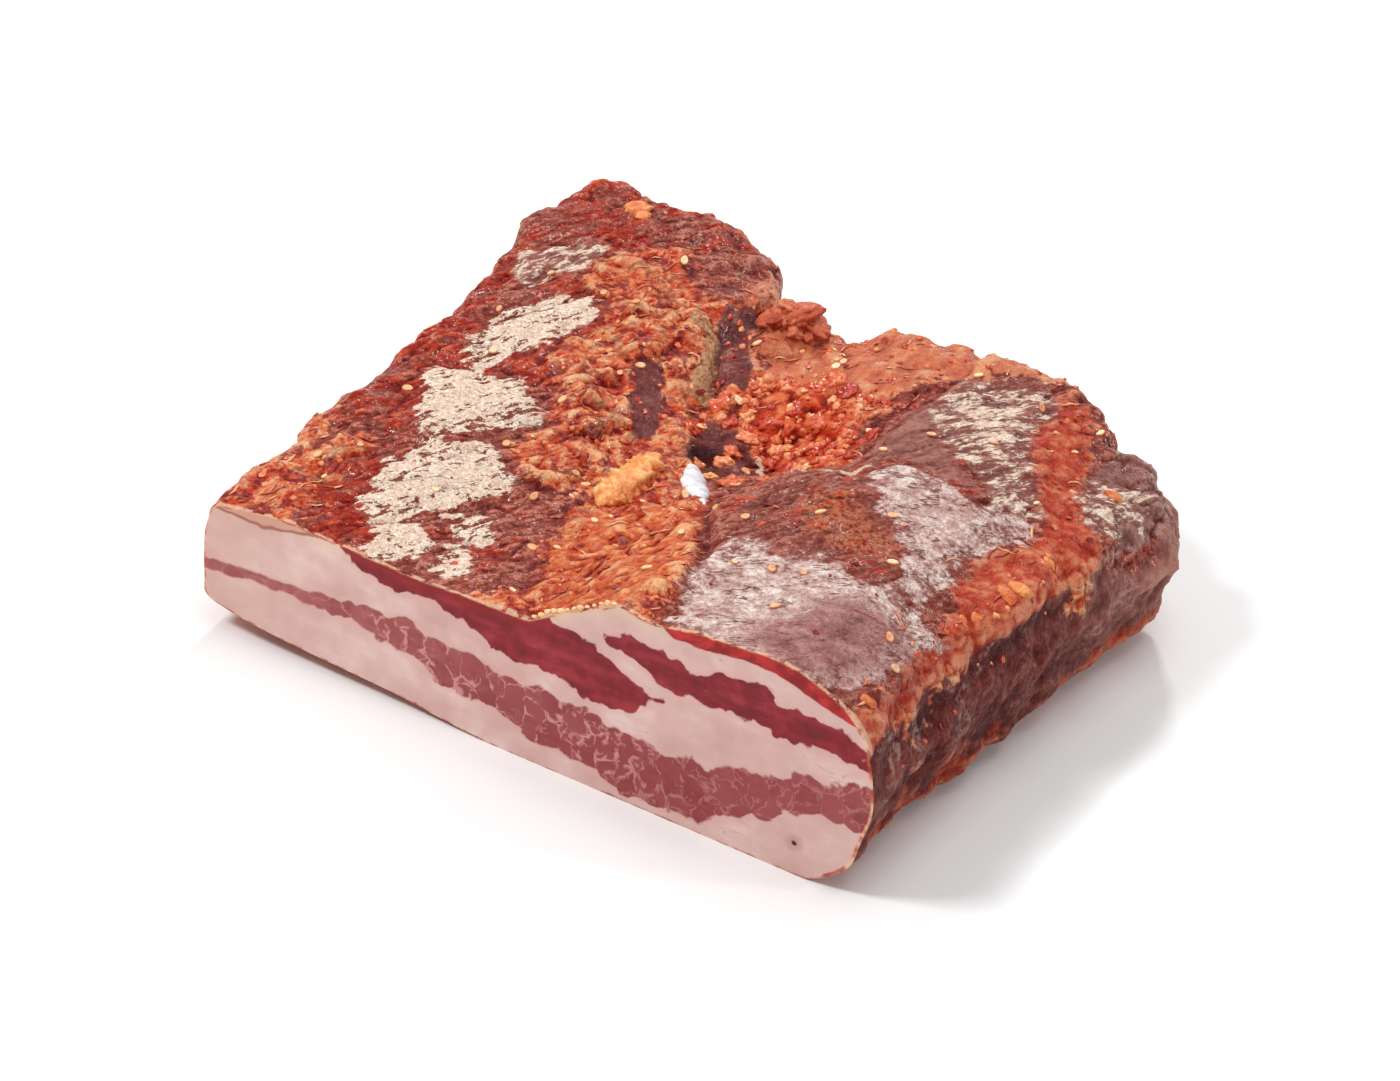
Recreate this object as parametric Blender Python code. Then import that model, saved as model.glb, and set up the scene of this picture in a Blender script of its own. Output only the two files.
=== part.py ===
"""Half a slab of flat cured pork belly, cut straight across, resting on its fat side.

The slab is modelled as it is built in life: bands of fat and lean that run from the cut face
through to the far end. All working sizes are in millimetres, and the meshes are in metres.
X runs along the cut face from its thin end, Y runs from the cut face to the far end, +Z is up.
"""

import math
import random

import bmesh
import bpy
import numpy as np
from mathutils import Matrix, Vector, noise
from mathutils.bvhtree import BVHTree

MM = 0.001

# Driving dimensions
CUT_WIDTH = 190.0
LENGTH = 200.0
NOMINAL_THICKNESS = 45.0
BOX_CENTRE = (96.85, 104.95)
GAP = 0.3
SEAM = 1.5

# Profiles of the cut face, as (x, z) from the thin end of the slab
CUT_TOP = [
    (0, 36.5), (10, 38), (24, 39.5), (50, 39.5), (75, 39.5), (94, 40), (103, 45), (112, 50.5),
    (122, 54.8), (129, 53.8), (143, 56), (156, 57.5), (165, 58.3), (173, 57), (181, 54), (190, 49.5),
]
CUT_BOTTOM = [(0, 8), (14, 5.5), (30, 4.2), (60, 2.8), (75, 1.2), (90, 0), (178, 0), (190, 2.5)]

# Height of the slab behind the cut and at its far end, as (x, z)
BODY_TOP = [
    (-12, 40), (10, 43.5), (36, 45), (60, 43), (82, 40), (100, 42), (118, 49), (145, 54.5),
    (165, 54), (182, 50), (198, 45),
]
FAR_TOP = [
    (-12, 49), (10, 52.5), (36, 52), (60, 47), (82, 43), (100, 46), (118, 49.5), (145, 49), (165, 47),
    (182, 44), (198, 41),
]

# Plan outline: the left and right edges as (y, x), the ragged far edge as (x, y)
LEFT_EDGE = [(0, 0), (75, -1), (120, -4), (160, -8), (200, -10)]
RIGHT_EDGE = [(0, 190), (29, 188), (61, 190), (84, 192), (111, 194), (135, 197), (165, 199), (200, 197)]
FAR_EDGE = [
    (-12, 203), (0, 206), (15, 204), (30, 206), (46, 203), (59, 200), (65, 186), (70, 177), (76, 188),
    (84, 182), (92, 183), (101, 191), (118, 191), (134, 189), (146, 191), (157, 189), (170, 182),
    (177, 175), (184, 178), (191, 172), (197, 162),
]

# Corner radii of the cross-section, and how far its long sides bow out
CORNER_THIN_END = 3.5
CORNER_TOP = 6.0
CORNER_BOTTOM = 9.0
CORNER_FAR = 7.5
BOW_LEFT = 1.5
BOW_RIGHT = 6.0
BOW_FAR = 4.0

# Bands of lean, as (x, z) on the cut face
LEAN_LOWER_TOP = [
    (-20, 19), (0, 19.5), (13, 21), (27, 22), (40, 23.2), (50, 24.5), (63, 26), (70, 24), (80, 23.5),
    (98, 21.8), (112, 21), (122, 20), (138, 19.3), (150, 19.6), (160, 24), (172, 25.5), (178, 29),
    (186, 29), (194, 31.5), (215, 33),
]
LEAN_LOWER_BOTTOM = [
    (-20, 16), (0, 16.5), (13, 18), (26, 19), (36, 19.2), (46, 18.6), (58, 17), (70, 12.5), (84, 10.5),
    (100, 7), (112, 6), (122, 4), (130, 2.4), (141, 2.2), (150, 3.6), (160, 8), (168, 13), (177, 18),
    (186, 20), (194, 21), (215, 22),
]
LEAN_INNER_BOTTOM = [
    (33, 47), (38, 40.5), (45, 35.5), (56, 33), (64, 34), (75, 33), (84, 29.5), (94, 26.8), (105, 28.2),
    (113, 25.2), (122, 24.6), (128, 26.8), (136, 33.2),
]
LEAN_INNER_BACK = [(130, 35), (122, 38.6), (111, 42), (102, 44), (97, 60)]
LEAN_OUTER_TOP = [
    (117, 44.6), (123, 47.6), (132, 47.8), (139, 46.4), (144, 44.8), (148, 47.4), (156, 49), (163, 50),
    (167, 46.6), (172, 46.8), (180, 45.6), (190, 43.6), (200, 41), (215, 41),
]
LEAN_OUTER_BOTTOM = [
    (215, 35), (200, 35.5), (190, 36.4), (180, 36.6), (170, 37), (160, 38), (152, 38), (144, 36.8),
    (136, 37.2), (127, 41), (119, 43),
]
LEAN_CAP_BOTTOM = [
    (132, 53), (136, 51), (146, 51.2), (156, 53), (165, 53.2), (173, 51), (181, 48.4), (190, 46), (215, 45),
]

# How the bands wander from the cut to the far end, as (y, shift in x)
INNER_WANDER = [(0, 0), (50, -14), (100, -28), (150, -40), (200, -44)]
CAP_WANDER = [(0, 0), (45, -12), (72, -25), (92, -21), (108, -6), (150, -3), (200, 0)]
LOWER_WANDER = [(0, 0), (60, 6), (120, -5), (200, 4)]

# Landmarks of the upper surface, as (x, y)
HOLLOW = (107, 117)
CLEFT = [(69, 184), (64, 150), (80, 118)]

# The spice crust
SEED_COUNT = 38
SEED_SIZE = (2.1, 1.7, 1.0)
CRUMB_COUNT = 26
CRUMB_RADIUS = (2.6, 4.4)
CRUST_DRAW = 41

# Mesh density
CELLS_ACROSS, CELLS_ALONG, CELLS_UP = 28, 26, 5
BAND_STATIONS = 10


def smooth_curve(points, at):
    """Monotone cubic through (position, value) points in rising order, held level past its ends."""
    px, pv = np.array(points, float).T
    step = np.diff(px)
    slope = np.diff(pv) / step
    same_way = slope[:-1] * slope[1:] > 0
    total = np.where(same_way, slope[:-1] + slope[1:], 1.0)
    inner = np.where(same_way, 2 * slope[:-1] * slope[1:] / total, 0.0)
    tangent = np.concatenate([[slope[0]], inner, [slope[-1]]])
    at = np.clip(np.asarray(at, float), px[0], px[-1])
    i = np.clip(np.searchsorted(px, at, side="right") - 1, 0, len(step) - 1)
    t = (at - px[i]) / step[i]
    t2, t3 = t * t, t * t * t
    return (
        (2 * t3 - 3 * t2 + 1) * pv[i]
        + (t3 - 2 * t2 + t) * step[i] * tangent[i]
        + (3 * t2 - 2 * t3) * pv[i + 1]
        + (t3 - t2) * step[i] * tangent[i + 1]
    )


def ease(t):
    t = np.clip(t, 0, 1)
    return t * t * (3 - 2 * t)


def bell(x, y, centre, size):
    """A round bump of height 1 over the plan."""
    return np.exp(-((x - centre[0]) ** 2 + (y - centre[1]) ** 2) / size**2)


def distance_to_path(x, y, path):
    """Distance in plan from (x, y) to a path of straight runs."""
    nearest = np.full(np.shape(x), 1e9)
    for (ax, ay), (bx, by) in zip(path, path[1:]):
        dx, dy = bx - ax, by - ay
        t = np.clip(((x - ax) * dx + (y - ay) * dy) / (dx * dx + dy * dy), 0, 1)
        nearest = np.minimum(nearest, np.hypot(x - ax - t * dx, y - ay - t * dy))
    return nearest


def lumps(x, y, z, scale, octaves=3):
    """Fractal noise of about -1 to 1 whose lumps are scale millimetres across."""
    points = np.stack(np.broadcast_arrays(x, y, z), -1).reshape(-1, 3) / scale
    values = [noise.fractal(Vector(p), 1.0, 2.0, octaves) for p in points]
    return np.array(values).reshape(np.shape(x))


def cap_edge(y):
    """Where the lean cap begins, in x, at distance y from the cut."""
    return LEAN_CAP_BOTTOM[0][0] + smooth_curve(CAP_WANDER, y)


def inner_edges(y):
    """Where the inner lean shows on the upper surface: its two edges, in x, at distance y from the cut."""
    wander = smooth_curve(INNER_WANDER, y)
    return LEAN_INNER_BOTTOM[1][0] + wander, LEAN_INNER_BACK[-2][0] + wander


def top_height(x, y):
    """The upper surface, without its fine relief."""
    behind = ease(y / 70)
    z = (1 - behind) * smooth_curve(CUT_TOP, x) + behind * smooth_curve(BODY_TOP, x)
    far = ease((y - 95) / 85)
    z = (1 - far) * z + far * smooth_curve(FAR_TOP, x)
    z = z - 9 * bell(x, y, HOLLOW, 21)
    z = z - 7 * np.exp(-((distance_to_path(x, y, CLEFT) / 5) ** 2))
    on_cap = ease((x - cap_edge(y)) / 4) * ease((y - 12) / 25)
    return z + 2.5 * on_cap * (1 - ease((x - 165) / 20))


def bottom_height(x, y):
    """The fat side: flat where it rests, lifting a little at the thin end and along the far edge."""
    lift = smooth_curve(CUT_BOTTOM, x) * (1 - ease(y / 60))
    thin_end = 3 * ease((34 - x) / 30) * ease(y / 60)
    far_end = 5 * ease((y - 165) / 35) + 9 * ease((y - 150) / 45) * ease((x - 145) / 45)
    return lift + thin_end + far_end


def rounded(u, v, w):
    """Rounds the long and far edges of the unit box that the slab is bent from."""
    size = np.array([CUT_WIDTH, LENGTH, NOMINAL_THICKNESS])
    p = np.stack([u, v, w], -1) * size
    thick_side = np.where(w > 0.5, CORNER_TOP, CORNER_BOTTOM)
    radius = np.where(u > 0.5, thick_side, CORNER_THIN_END)
    radius = np.maximum(radius, CORNER_FAR * ease((v - 0.8) / 0.15))
    core = p.copy()
    core[..., 0] = np.clip(p[..., 0], radius, size[0] - radius)
    core[..., 1] = np.minimum(p[..., 1], size[1] - radius)
    core[..., 2] = np.clip(p[..., 2], radius, size[2] - radius)
    reach = p - core
    length = np.linalg.norm(reach, axis=-1)
    shrink = np.where(length > radius, radius / np.maximum(length, 1e-9), 1.0)
    p = (core + reach * shrink[..., None]) / size
    return p[..., 0], p[..., 1], p[..., 2]


def slab_point(u, v, w):
    """The slab's form: u across the cut face, v towards the far end and w upwards, each from 0 to 1."""
    u, v, w = rounded(u, v, w)
    plan_x = u * CUT_WIDTH + (u - 0.5) * 14 * v
    y = v * smooth_curve(FAR_EDGE, plan_x)
    left, right = smooth_curve(LEFT_EDGE, y), smooth_curve(RIGHT_EDGE, y)
    x = left + u * (right - left)
    bottom, top = bottom_height(x, y), top_height(x, y)
    z = bottom + w * (top - bottom)
    belly = 4 * w * (1 - w)
    x = x + BOW_RIGHT * belly * ease((u - 0.88) / 0.12) - BOW_LEFT * belly * ease((0.08 - u) / 0.08)
    y = y + BOW_FAR * belly * ease((v - 0.93) / 0.07)
    return x, y, z


def relief(u, v, w, x, y, z):
    """Moves the points of the slab's skin along X, Y and Z for the lumps and creases of the cured surface."""
    coarse = lumps(x, y, z, 26)
    fine = lumps(x + 300, y, z, 11)
    behind_cut = 0.35 + 0.65 * ease(y / 25)
    crust = 1 - 0.55 * ease((x - cap_edge(y)) / 10)
    on_top = ease((w - 0.6) / 0.35)
    dz = on_top * behind_cut * (1.5 * coarse + 1.1 * crust * fine)
    on_side = ease((u - 0.9) / 0.1) - ease((0.1 - u) / 0.1)
    ridges = 0.9 * np.sin(z / 3.6 + 2 * coarse)
    dx = on_side * behind_cut * (1.4 * coarse + 0.9 * fine + ridges)
    dy = ease((v - 0.93) / 0.07) * (2.2 * coarse + 1.4 * fine)
    return x + dx, np.where(v > 0, y + dy, 0.0), z + dz


def box_grid(across, along, up):
    """Points (u, v, w) and quads of the surface of a unit box, with shared corners and faces pointing out."""
    index, points, quads = {}, [], []

    def point(i, j, k):
        if (i, j, k) not in index:
            index[i, j, k] = len(points)
            points.append((i / across, j / along, k / up))
        return index[i, j, k]

    def quad(*corners):
        quads.append([point(*corner) for corner in corners])

    for i in range(across):
        for j in range(along):
            quad((i, j, 0), (i, j + 1, 0), (i + 1, j + 1, 0), (i + 1, j, 0))
            quad((i, j, up), (i + 1, j, up), (i + 1, j + 1, up), (i, j + 1, up))
    for i in range(across):
        for k in range(up):
            quad((i, 0, k), (i + 1, 0, k), (i + 1, 0, k + 1), (i, 0, k + 1))
            quad((i, along, k), (i, along, k + 1), (i + 1, along, k + 1), (i + 1, along, k))
    for j in range(along):
        for k in range(up):
            quad((0, j, k), (0, j, k + 1), (0, j + 1, k + 1), (0, j + 1, k))
            quad((across, j, k), (across, j + 1, k), (across, j + 1, k + 1), (across, j, k + 1))
    return np.array(points), quads


def crowd_edges(t, share=0.35):
    """Draws grid lines from 0 to 1 towards both ends, where the corners are round."""
    return t - share * np.sin(2 * math.pi * t) / (2 * math.pi)


def placed(points):
    """Millimetres in the cut's own frame to metres about the middle of the base."""
    return (np.asarray(points, float) - [BOX_CENTRE[0], BOX_CENTRE[1], 0]) * MM


def new_object(name, points, faces):
    mesh = bpy.data.meshes.new(name)
    mesh.from_pydata(placed(points).tolist(), [], faces)
    obj = bpy.data.objects.new(name, mesh)
    bpy.context.scene.collection.objects.link(obj)
    return obj


def slab_form():
    """The whole slab as one closed mesh, the stock that the bands are cut from."""
    points, quads = box_grid(CELLS_ACROSS, CELLS_ALONG, CELLS_UP)
    u, v, w = crowd_edges(points[:, 0]), crowd_edges(points[:, 1], 0.2), crowd_edges(points[:, 2])
    x, y, z = relief(u, v, w, *slab_point(u, v, w))
    slab = new_object("slab_form", np.stack([x, y, z], -1), quads)
    bm = bmesh.new()
    bm.from_mesh(slab.data)
    bmesh.ops.triangulate(bm, faces=[f for f in bm.faces if f.calc_center_median().z > 1e-6])
    flat = {f for f in bm.faces if all(abs(vert.co.z) < 1e-7 for vert in f.verts)}
    inside = [e for e in bm.edges if all(f in flat for f in e.link_faces)]
    bmesh.ops.dissolve_edges(bm, edges=inside, use_verts=True)
    bm.to_mesh(slab.data)
    bm.free()
    return slab


def surface_finder(slab):
    """Returns a function that gives the point and the normal of the slab's upper surface over (x, y)."""
    tree = BVHTree.FromObject(slab, bpy.context.evaluated_depsgraph_get())

    def find(x, y):
        start = Vector(placed([x, y, 200.0]).tolist())
        point, normal, _, _ = tree.ray_cast(start, Vector((0, 0, -1)))
        return point, normal

    return find


def band_at(x, y):
    """Which band shows on the upper surface at (x, y)."""
    left, right = inner_edges(y)
    if x > cap_edge(y):
        return "cap"
    return "inner" if left < x < right else "fat"


def clear_of_bands(x, y, reach):
    """True where nothing within reach lies on another band, so that a topping touches one node only."""
    around = [(x + reach * math.cos(a), y + reach * math.sin(a)) for a in np.linspace(0, 2 * math.pi, 9)]
    return len({band_at(*p) for p in around}) == 1


def seed_spots():
    """Where the chilli seeds lie: (x, y, turn), spread evenly, fewer on bare lean than on the crusted fat."""
    draw = random.Random(CRUST_DRAW)
    spots = []
    while len(spots) < SEED_COUNT:
        x, y, turn = draw.uniform(8, 182), draw.uniform(8, 176), draw.uniform(0, math.pi)
        rare = draw.random()
        if rare > 0.45 and band_at(x, y) != "fat":
            continue
        if not clear_of_bands(x, y, 5) or any(math.hypot(x - a, y - b) < 13 for a, b, _ in spots):
            continue
        spots.append((x, y, turn))
    return spots


def crumb_spots():
    """Where the crumbs of spice paste lie in the hollow: (x, y, radius, turn)."""
    draw = random.Random(CRUST_DRAW + 1)
    spots = []
    while len(spots) < CRUMB_COUNT:
        angle, out = draw.uniform(0, 2 * math.pi), 27 * math.sqrt(draw.random())
        x, y = HOLLOW[0] - 3 + out * math.cos(angle), HOLLOW[1] + 4 + 1.25 * out * math.sin(angle)
        radius, turn = draw.uniform(*CRUMB_RADIUS), draw.uniform(0, math.pi)
        if band_at(x, y) != "fat" or not clear_of_bands(x, y, radius + 1.5):
            continue
        if any(math.hypot(x - a, y - b) < 0.9 * (radius + r) for a, b, r, _ in spots):
            continue
        spots.append((x, y, radius, turn))
    return spots


def add_topping(collection, name, place, size, turn, segments, sunk):
    """A small closed pebble of half-sizes size, lying on the surface and sunk by a share of its height."""
    point, normal = place
    bm = bmesh.new()
    bmesh.ops.create_uvsphere(bm, u_segments=segments[0], v_segments=segments[1], radius=MM)
    lie = normal.to_track_quat("Z", "Y").to_matrix().to_4x4()
    centre = point - normal * size[2] * MM * sunk
    stretch = Matrix.Diagonal((*size, 1.0))
    bm.transform(Matrix.Translation(centre) @ lie @ Matrix.Rotation(turn, 4, "Z") @ stretch)
    mesh = bpy.data.meshes.new(name)
    bm.to_mesh(mesh)
    bm.free()
    collection.objects.link(bpy.data.objects.new(name, mesh))


def fuse_toppings(slab):
    """Fuses the seeds and the crumbs to the slab with one union, and removes the loose ones."""
    toppings = bpy.data.collections.new("toppings")
    bpy.context.scene.collection.children.link(toppings)
    find = surface_finder(slab)
    for number, (x, y, turn) in enumerate(seed_spots()):
        add_topping(toppings, f"seed_{number}", find(x, y), SEED_SIZE, turn, (7, 3), 0.1)
    for number, (x, y, radius, turn) in enumerate(crumb_spots()):
        size = (1.25 * radius, radius, 0.85 * radius)
        add_topping(toppings, f"crumb_{number}", find(x, y), size, turn, (6, 4), 0.35)
    union = slab.modifiers.new("fuse", "BOOLEAN")
    union.operation, union.operand_type, union.collection = "UNION", "COLLECTION", toppings
    apply_modifiers(slab)
    for obj in list(toppings.objects):
        bpy.data.objects.remove(obj)
    bpy.data.collections.remove(toppings)


def apply_modifiers(obj):
    """Replaces the object's mesh by what its modifiers make of it."""
    graph = bpy.context.evaluated_depsgraph_get()
    mesh = bpy.data.meshes.new_from_object(obj.evaluated_get(graph))
    obj.modifiers.clear()
    obj.data = mesh


def span(x, y, above_lower=False):
    """The heights between which bands are placed at (x, y): the whole slab, or what lies a seam above the
    lower lean."""
    bottom, top = float(bottom_height(x, y)), float(top_height(x, y))
    if not above_lower:
        return bottom, top
    at_cut = min(max(x - float(smooth_curve(LOWER_WANDER, y)), 0), CUT_WIDTH)
    cut_bottom, cut_top = float(smooth_curve(CUT_BOTTOM, at_cut)), float(smooth_curve(CUT_TOP, at_cut))
    share = (float(np.interp(at_cut, *np.transpose(LEAN_LOWER_TOP))) - cut_bottom) / (cut_top - cut_bottom)
    return bottom + share * (top - bottom) + SEAM, top


def shares(points, lift=0.0, above_lower=False):
    """Turns (x, z) points of the cut face, lifted by lift, into (x, share of the span there)."""
    made = []
    for x, z in points:
        low, high = span(min(max(x, 0), CUT_WIDTH), 0.0, above_lower)
        made.append((x, (z + lift - low) / (high - low)))
    return made


def outline_grown(outline, grow):
    """Moves every side of a closed (x, z) outline outwards by grow. It runs anticlockwise."""
    here = np.array(outline)
    along = np.roll(here, -1, axis=0) - here
    after = np.stack([along[:, 1], -along[:, 0]], -1) / np.linalg.norm(along, axis=1)[:, None]
    before = np.roll(after, 1, axis=0)
    turn = 1 + np.sum(after * before, axis=1)
    return here + grow * (after + before) / np.maximum(turn, 0.4)[:, None]


def band_block(name, outline, wander, hinge=None, grow=0.0, above_lower=False):
    """A closed block that holds one band: its (x, height share) outline at the cut, carried through to the
    far end. wander shifts it in x, in full at x = hinge[0] and not at all past x = hinge[1]."""
    rings, faces, points = [], [], []
    for y in np.linspace(-8, 222, BAND_STATIONS):
        inside_y = min(max(y, 0.0), 185.0)
        ring = []
        for x, share in outline:
            hold = 1.0 if hinge is None else 1 - float(ease((x - hinge[0]) / (hinge[1] - hinge[0])))
            x_here = x + hold * float(smooth_curve(wander, inside_y))
            low, high = span(min(max(x_here, -8), 196), inside_y, above_lower)
            ring.append((x_here, low + share * (high - low)))
        start = len(points)
        points += [(x, y, z) for x, z in outline_grown(ring, grow)]
        rings.append(range(start, len(points)))
    for near, far in zip(rings, rings[1:]):
        for i in range(len(near)):
            j = (i + 1) % len(near)
            faces += [[near[i], near[j], far[j]], [near[i], far[j], far[i]]]
    faces += [list(rings[0])[::-1], list(rings[-1])]
    block = new_object(name, points, faces)
    bm = bmesh.new()
    bm.from_mesh(block.data)
    bmesh.ops.recalc_face_normals(bm, faces=bm.faces)
    bm.to_mesh(block.data)
    bm.free()
    block.hide_render = True
    block.display_type = "WIRE"
    return block


def material(name, colour, roughness):
    made = bpy.data.materials.new(name)
    made.use_nodes = True
    shader = made.node_tree.nodes["Principled BSDF"]
    shader.inputs["Base Color"].default_value = (*colour, 1.0)
    shader.inputs["Roughness"].default_value = roughness
    shader.inputs["Metallic"].default_value = 0.0
    return made


def drop_scraps(obj):
    """Keeps the largest connected body of a mesh."""
    bm = bmesh.new()
    bm.from_mesh(obj.data)
    left, bodies = set(bm.verts), []
    for start in bm.verts:
        if start not in left:
            continue
        left.discard(start)
        body, reached = [start], [start]
        while reached:
            vert = reached.pop()
            fresh = [link.other_vert(vert) for link in vert.link_edges if link.other_vert(vert) in left]
            left.difference_update(fresh)
            body += fresh
            reached += fresh
        bodies.append(body)
    bodies.sort(key=len)
    scraps = [vert for body in bodies[:-1] for vert in body]
    bmesh.ops.delete(bm, geom=scraps, context="VERTS")
    bmesh.ops.triangulate(bm, faces=bm.faces)
    bm.to_mesh(obj.data)
    bm.free()


def cut_band(name, slab, keep, remove, finish):
    """A band of the slab: what lies inside the block keep and outside the blocks in remove."""
    band = bpy.data.objects.new(name, slab.data.copy())
    bpy.context.scene.collection.objects.link(band)
    for operation, block in [("INTERSECT", keep)] + [("DIFFERENCE", b) for b in remove]:
        boolean = band.modifiers.new(operation.lower(), "BOOLEAN")
        boolean.operation, boolean.object, boolean.solver = operation, block, "EXACT"
    apply_modifiers(band)
    drop_scraps(band)
    band.data.materials.clear()
    band.data.materials.append(finish)
    return band


def main():
    for obj in list(bpy.data.objects):
        bpy.data.objects.remove(obj)

    slab = slab_form()
    fuse_toppings(slab)
    slab.hide_render = True
    slab.display_type = "WIRE"

    fat = material("cured_fat", (0.71, 0.45, 0.40), 0.45)
    streaky = material("streaky_lean", (0.36, 0.09, 0.09), 0.5)
    lean = material("dark_lean", (0.26, 0.03, 0.04), 0.5)
    crust_lean = material("dried_lean", (0.24, 0.10, 0.08), 0.75)

    lower = shares(LEAN_LOWER_BOTTOM) + shares(LEAN_LOWER_TOP)[::-1]
    under = shares(LEAN_LOWER_BOTTOM, -GAP) + [(215, -1), (-20, -1)]
    over = shares(LEAN_LOWER_TOP, GAP)[::-1] + [(-20, 2), (215, 2)]
    inner = shares(LEAN_INNER_BOTTOM + LEAN_INNER_BACK + [(33, 60)], above_lower=True)
    outer = shares(LEAN_OUTER_BOTTOM[::-1] + LEAN_OUTER_TOP[::-1], above_lower=True)
    cap = shares(LEAN_CAP_BOTTOM) + [(215, 2), (132, 2)]

    cap_hinge = (140, 185)
    lower_block = band_block("lean_lower_block", lower, LOWER_WANDER)
    under_block = band_block("fat_lower_block", under, LOWER_WANDER)
    over_block = band_block("fat_upper_block", over, LOWER_WANDER)
    inner_block = band_block("lean_inner_block", inner, INNER_WANDER, above_lower=True)
    outer_block = band_block("lean_outer_block", outer, CAP_WANDER, cap_hinge, above_lower=True)
    cap_block = band_block("lean_cap_block", cap, CAP_WANDER, cap_hinge)
    cuts = [
        band_block("inner_cut", inner, INNER_WANDER, grow=GAP, above_lower=True),
        band_block("outer_cut", outer, CAP_WANDER, cap_hinge, GAP, above_lower=True),
        band_block("cap_cut", cap, CAP_WANDER, cap_hinge, GAP),
    ]

    cut_band("fat_lower", slab, under_block, [], fat)
    cut_band("lean_lower", slab, lower_block, [], streaky)
    cut_band("fat_upper", slab, over_block, cuts, fat)
    cut_band("lean_inner", slab, inner_block, [], lean)
    cut_band("lean_outer", slab, outer_block, [], lean)
    cut_band("lean_cap", slab, cap_block, [], crust_lean)


main()
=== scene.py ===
"""Looks for the pancetta: half a slab of flat cured pork belly, rubbed with chilli, with one straight cut.

Working sizes are in millimetres: X runs along the cut from its thin end, Y from the cut to the far
end and Z is up, as in the part's source. The meshes are in metres, in the row frame.
"""
import functools
import math
import random

import bmesh
import bpy
import numpy as np
from mathutils import Euler, Matrix, Vector, noise
from mathutils.bvhtree import BVHTree


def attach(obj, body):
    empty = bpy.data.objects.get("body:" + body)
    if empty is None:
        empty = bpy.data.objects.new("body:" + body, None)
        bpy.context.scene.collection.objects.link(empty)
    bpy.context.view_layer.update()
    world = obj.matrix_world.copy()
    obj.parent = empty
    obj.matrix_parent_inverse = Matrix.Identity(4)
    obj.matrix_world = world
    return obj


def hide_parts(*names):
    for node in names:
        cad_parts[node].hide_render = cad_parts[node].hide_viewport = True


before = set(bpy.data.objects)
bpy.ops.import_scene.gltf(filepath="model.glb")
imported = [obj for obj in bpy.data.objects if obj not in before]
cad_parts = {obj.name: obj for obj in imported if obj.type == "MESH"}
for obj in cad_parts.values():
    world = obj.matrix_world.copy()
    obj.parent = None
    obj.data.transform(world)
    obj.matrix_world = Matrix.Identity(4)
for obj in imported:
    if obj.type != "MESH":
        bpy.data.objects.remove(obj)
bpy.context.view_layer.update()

MM = 0.001

# The slab's form, as in the part's source
CUT_WIDTH = 190.0
LENGTH = 200.0
NOMINAL_THICKNESS = 45.0
BOX_CENTRE = (96.85, 104.95)
SEAM = 1.5
CUT_TOP = [
    (0, 36.5), (10, 38), (24, 39.5), (50, 39.5), (75, 39.5), (94, 40), (103, 45), (112, 50.5),
    (122, 54.8), (129, 53.8), (143, 56), (156, 57.5), (165, 58.3), (173, 57), (181, 54), (190, 49.5),
]
CUT_BOTTOM = [(0, 8), (14, 5.5), (30, 4.2), (60, 2.8), (75, 1.2), (90, 0), (178, 0), (190, 2.5)]
BODY_TOP = [
    (-12, 40), (10, 43.5), (36, 45), (60, 43), (82, 40), (100, 42), (118, 49), (145, 54.5),
    (165, 54), (182, 50), (198, 45),
]
FAR_TOP = [
    (-12, 49), (10, 52.5), (36, 52), (60, 47), (82, 43), (100, 46), (118, 49.5), (145, 49), (165, 47),
    (182, 44), (198, 41),
]
LEFT_EDGE = [(0, 0), (75, -1), (120, -4), (160, -8), (200, -10)]
RIGHT_EDGE = [(0, 190), (29, 188), (61, 190), (84, 192), (111, 194), (135, 197), (165, 199), (200, 197)]
FAR_EDGE = [
    (-12, 203), (0, 206), (15, 204), (30, 206), (46, 203), (59, 200), (65, 186), (70, 177), (76, 188),
    (84, 182), (92, 183), (101, 191), (118, 191), (134, 189), (146, 191), (157, 189), (170, 182),
    (177, 175), (184, 178), (191, 172), (197, 162),
]
CORNER_THIN_END = 3.5
CORNER_TOP = 6.0
CORNER_BOTTOM = 9.0
CORNER_FAR = 7.5
BOW_LEFT = 1.5
BOW_RIGHT = 6.0
BOW_FAR = 4.0
LEAN_LOWER_TOP = [
    (-20, 19), (0, 19.5), (13, 21), (27, 22), (40, 23.2), (50, 24.5), (63, 26), (70, 24), (80, 23.5),
    (98, 21.8), (112, 21), (122, 20), (138, 19.3), (150, 19.6), (160, 24), (172, 25.5), (178, 29),
    (186, 29), (194, 31.5), (215, 33),
]
LEAN_LOWER_BOTTOM = [
    (-20, 16), (0, 16.5), (13, 18), (26, 19), (36, 19.2), (46, 18.6), (58, 17), (70, 12.5), (84, 10.5),
    (100, 7), (112, 6), (122, 4), (130, 2.4), (141, 2.2), (150, 3.6), (160, 8), (168, 13), (177, 18),
    (186, 20), (194, 21), (215, 22),
]
LEAN_INNER_BOTTOM = [
    (33, 47), (38, 40.5), (45, 35.5), (56, 33), (64, 34), (75, 33), (84, 29.5), (94, 26.8), (105, 28.2),
    (113, 25.2), (122, 24.6), (128, 26.8), (136, 33.2),
]
LEAN_INNER_BACK = [(130, 35), (122, 38.6), (111, 42), (102, 44), (97, 60)]
LEAN_OUTER_TOP = [
    (117, 44.6), (123, 47.6), (132, 47.8), (139, 46.4), (144, 44.8), (148, 47.4), (156, 49), (163, 50),
    (167, 46.6), (172, 46.8), (180, 45.6), (190, 43.6), (200, 41), (215, 41),
]
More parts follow.
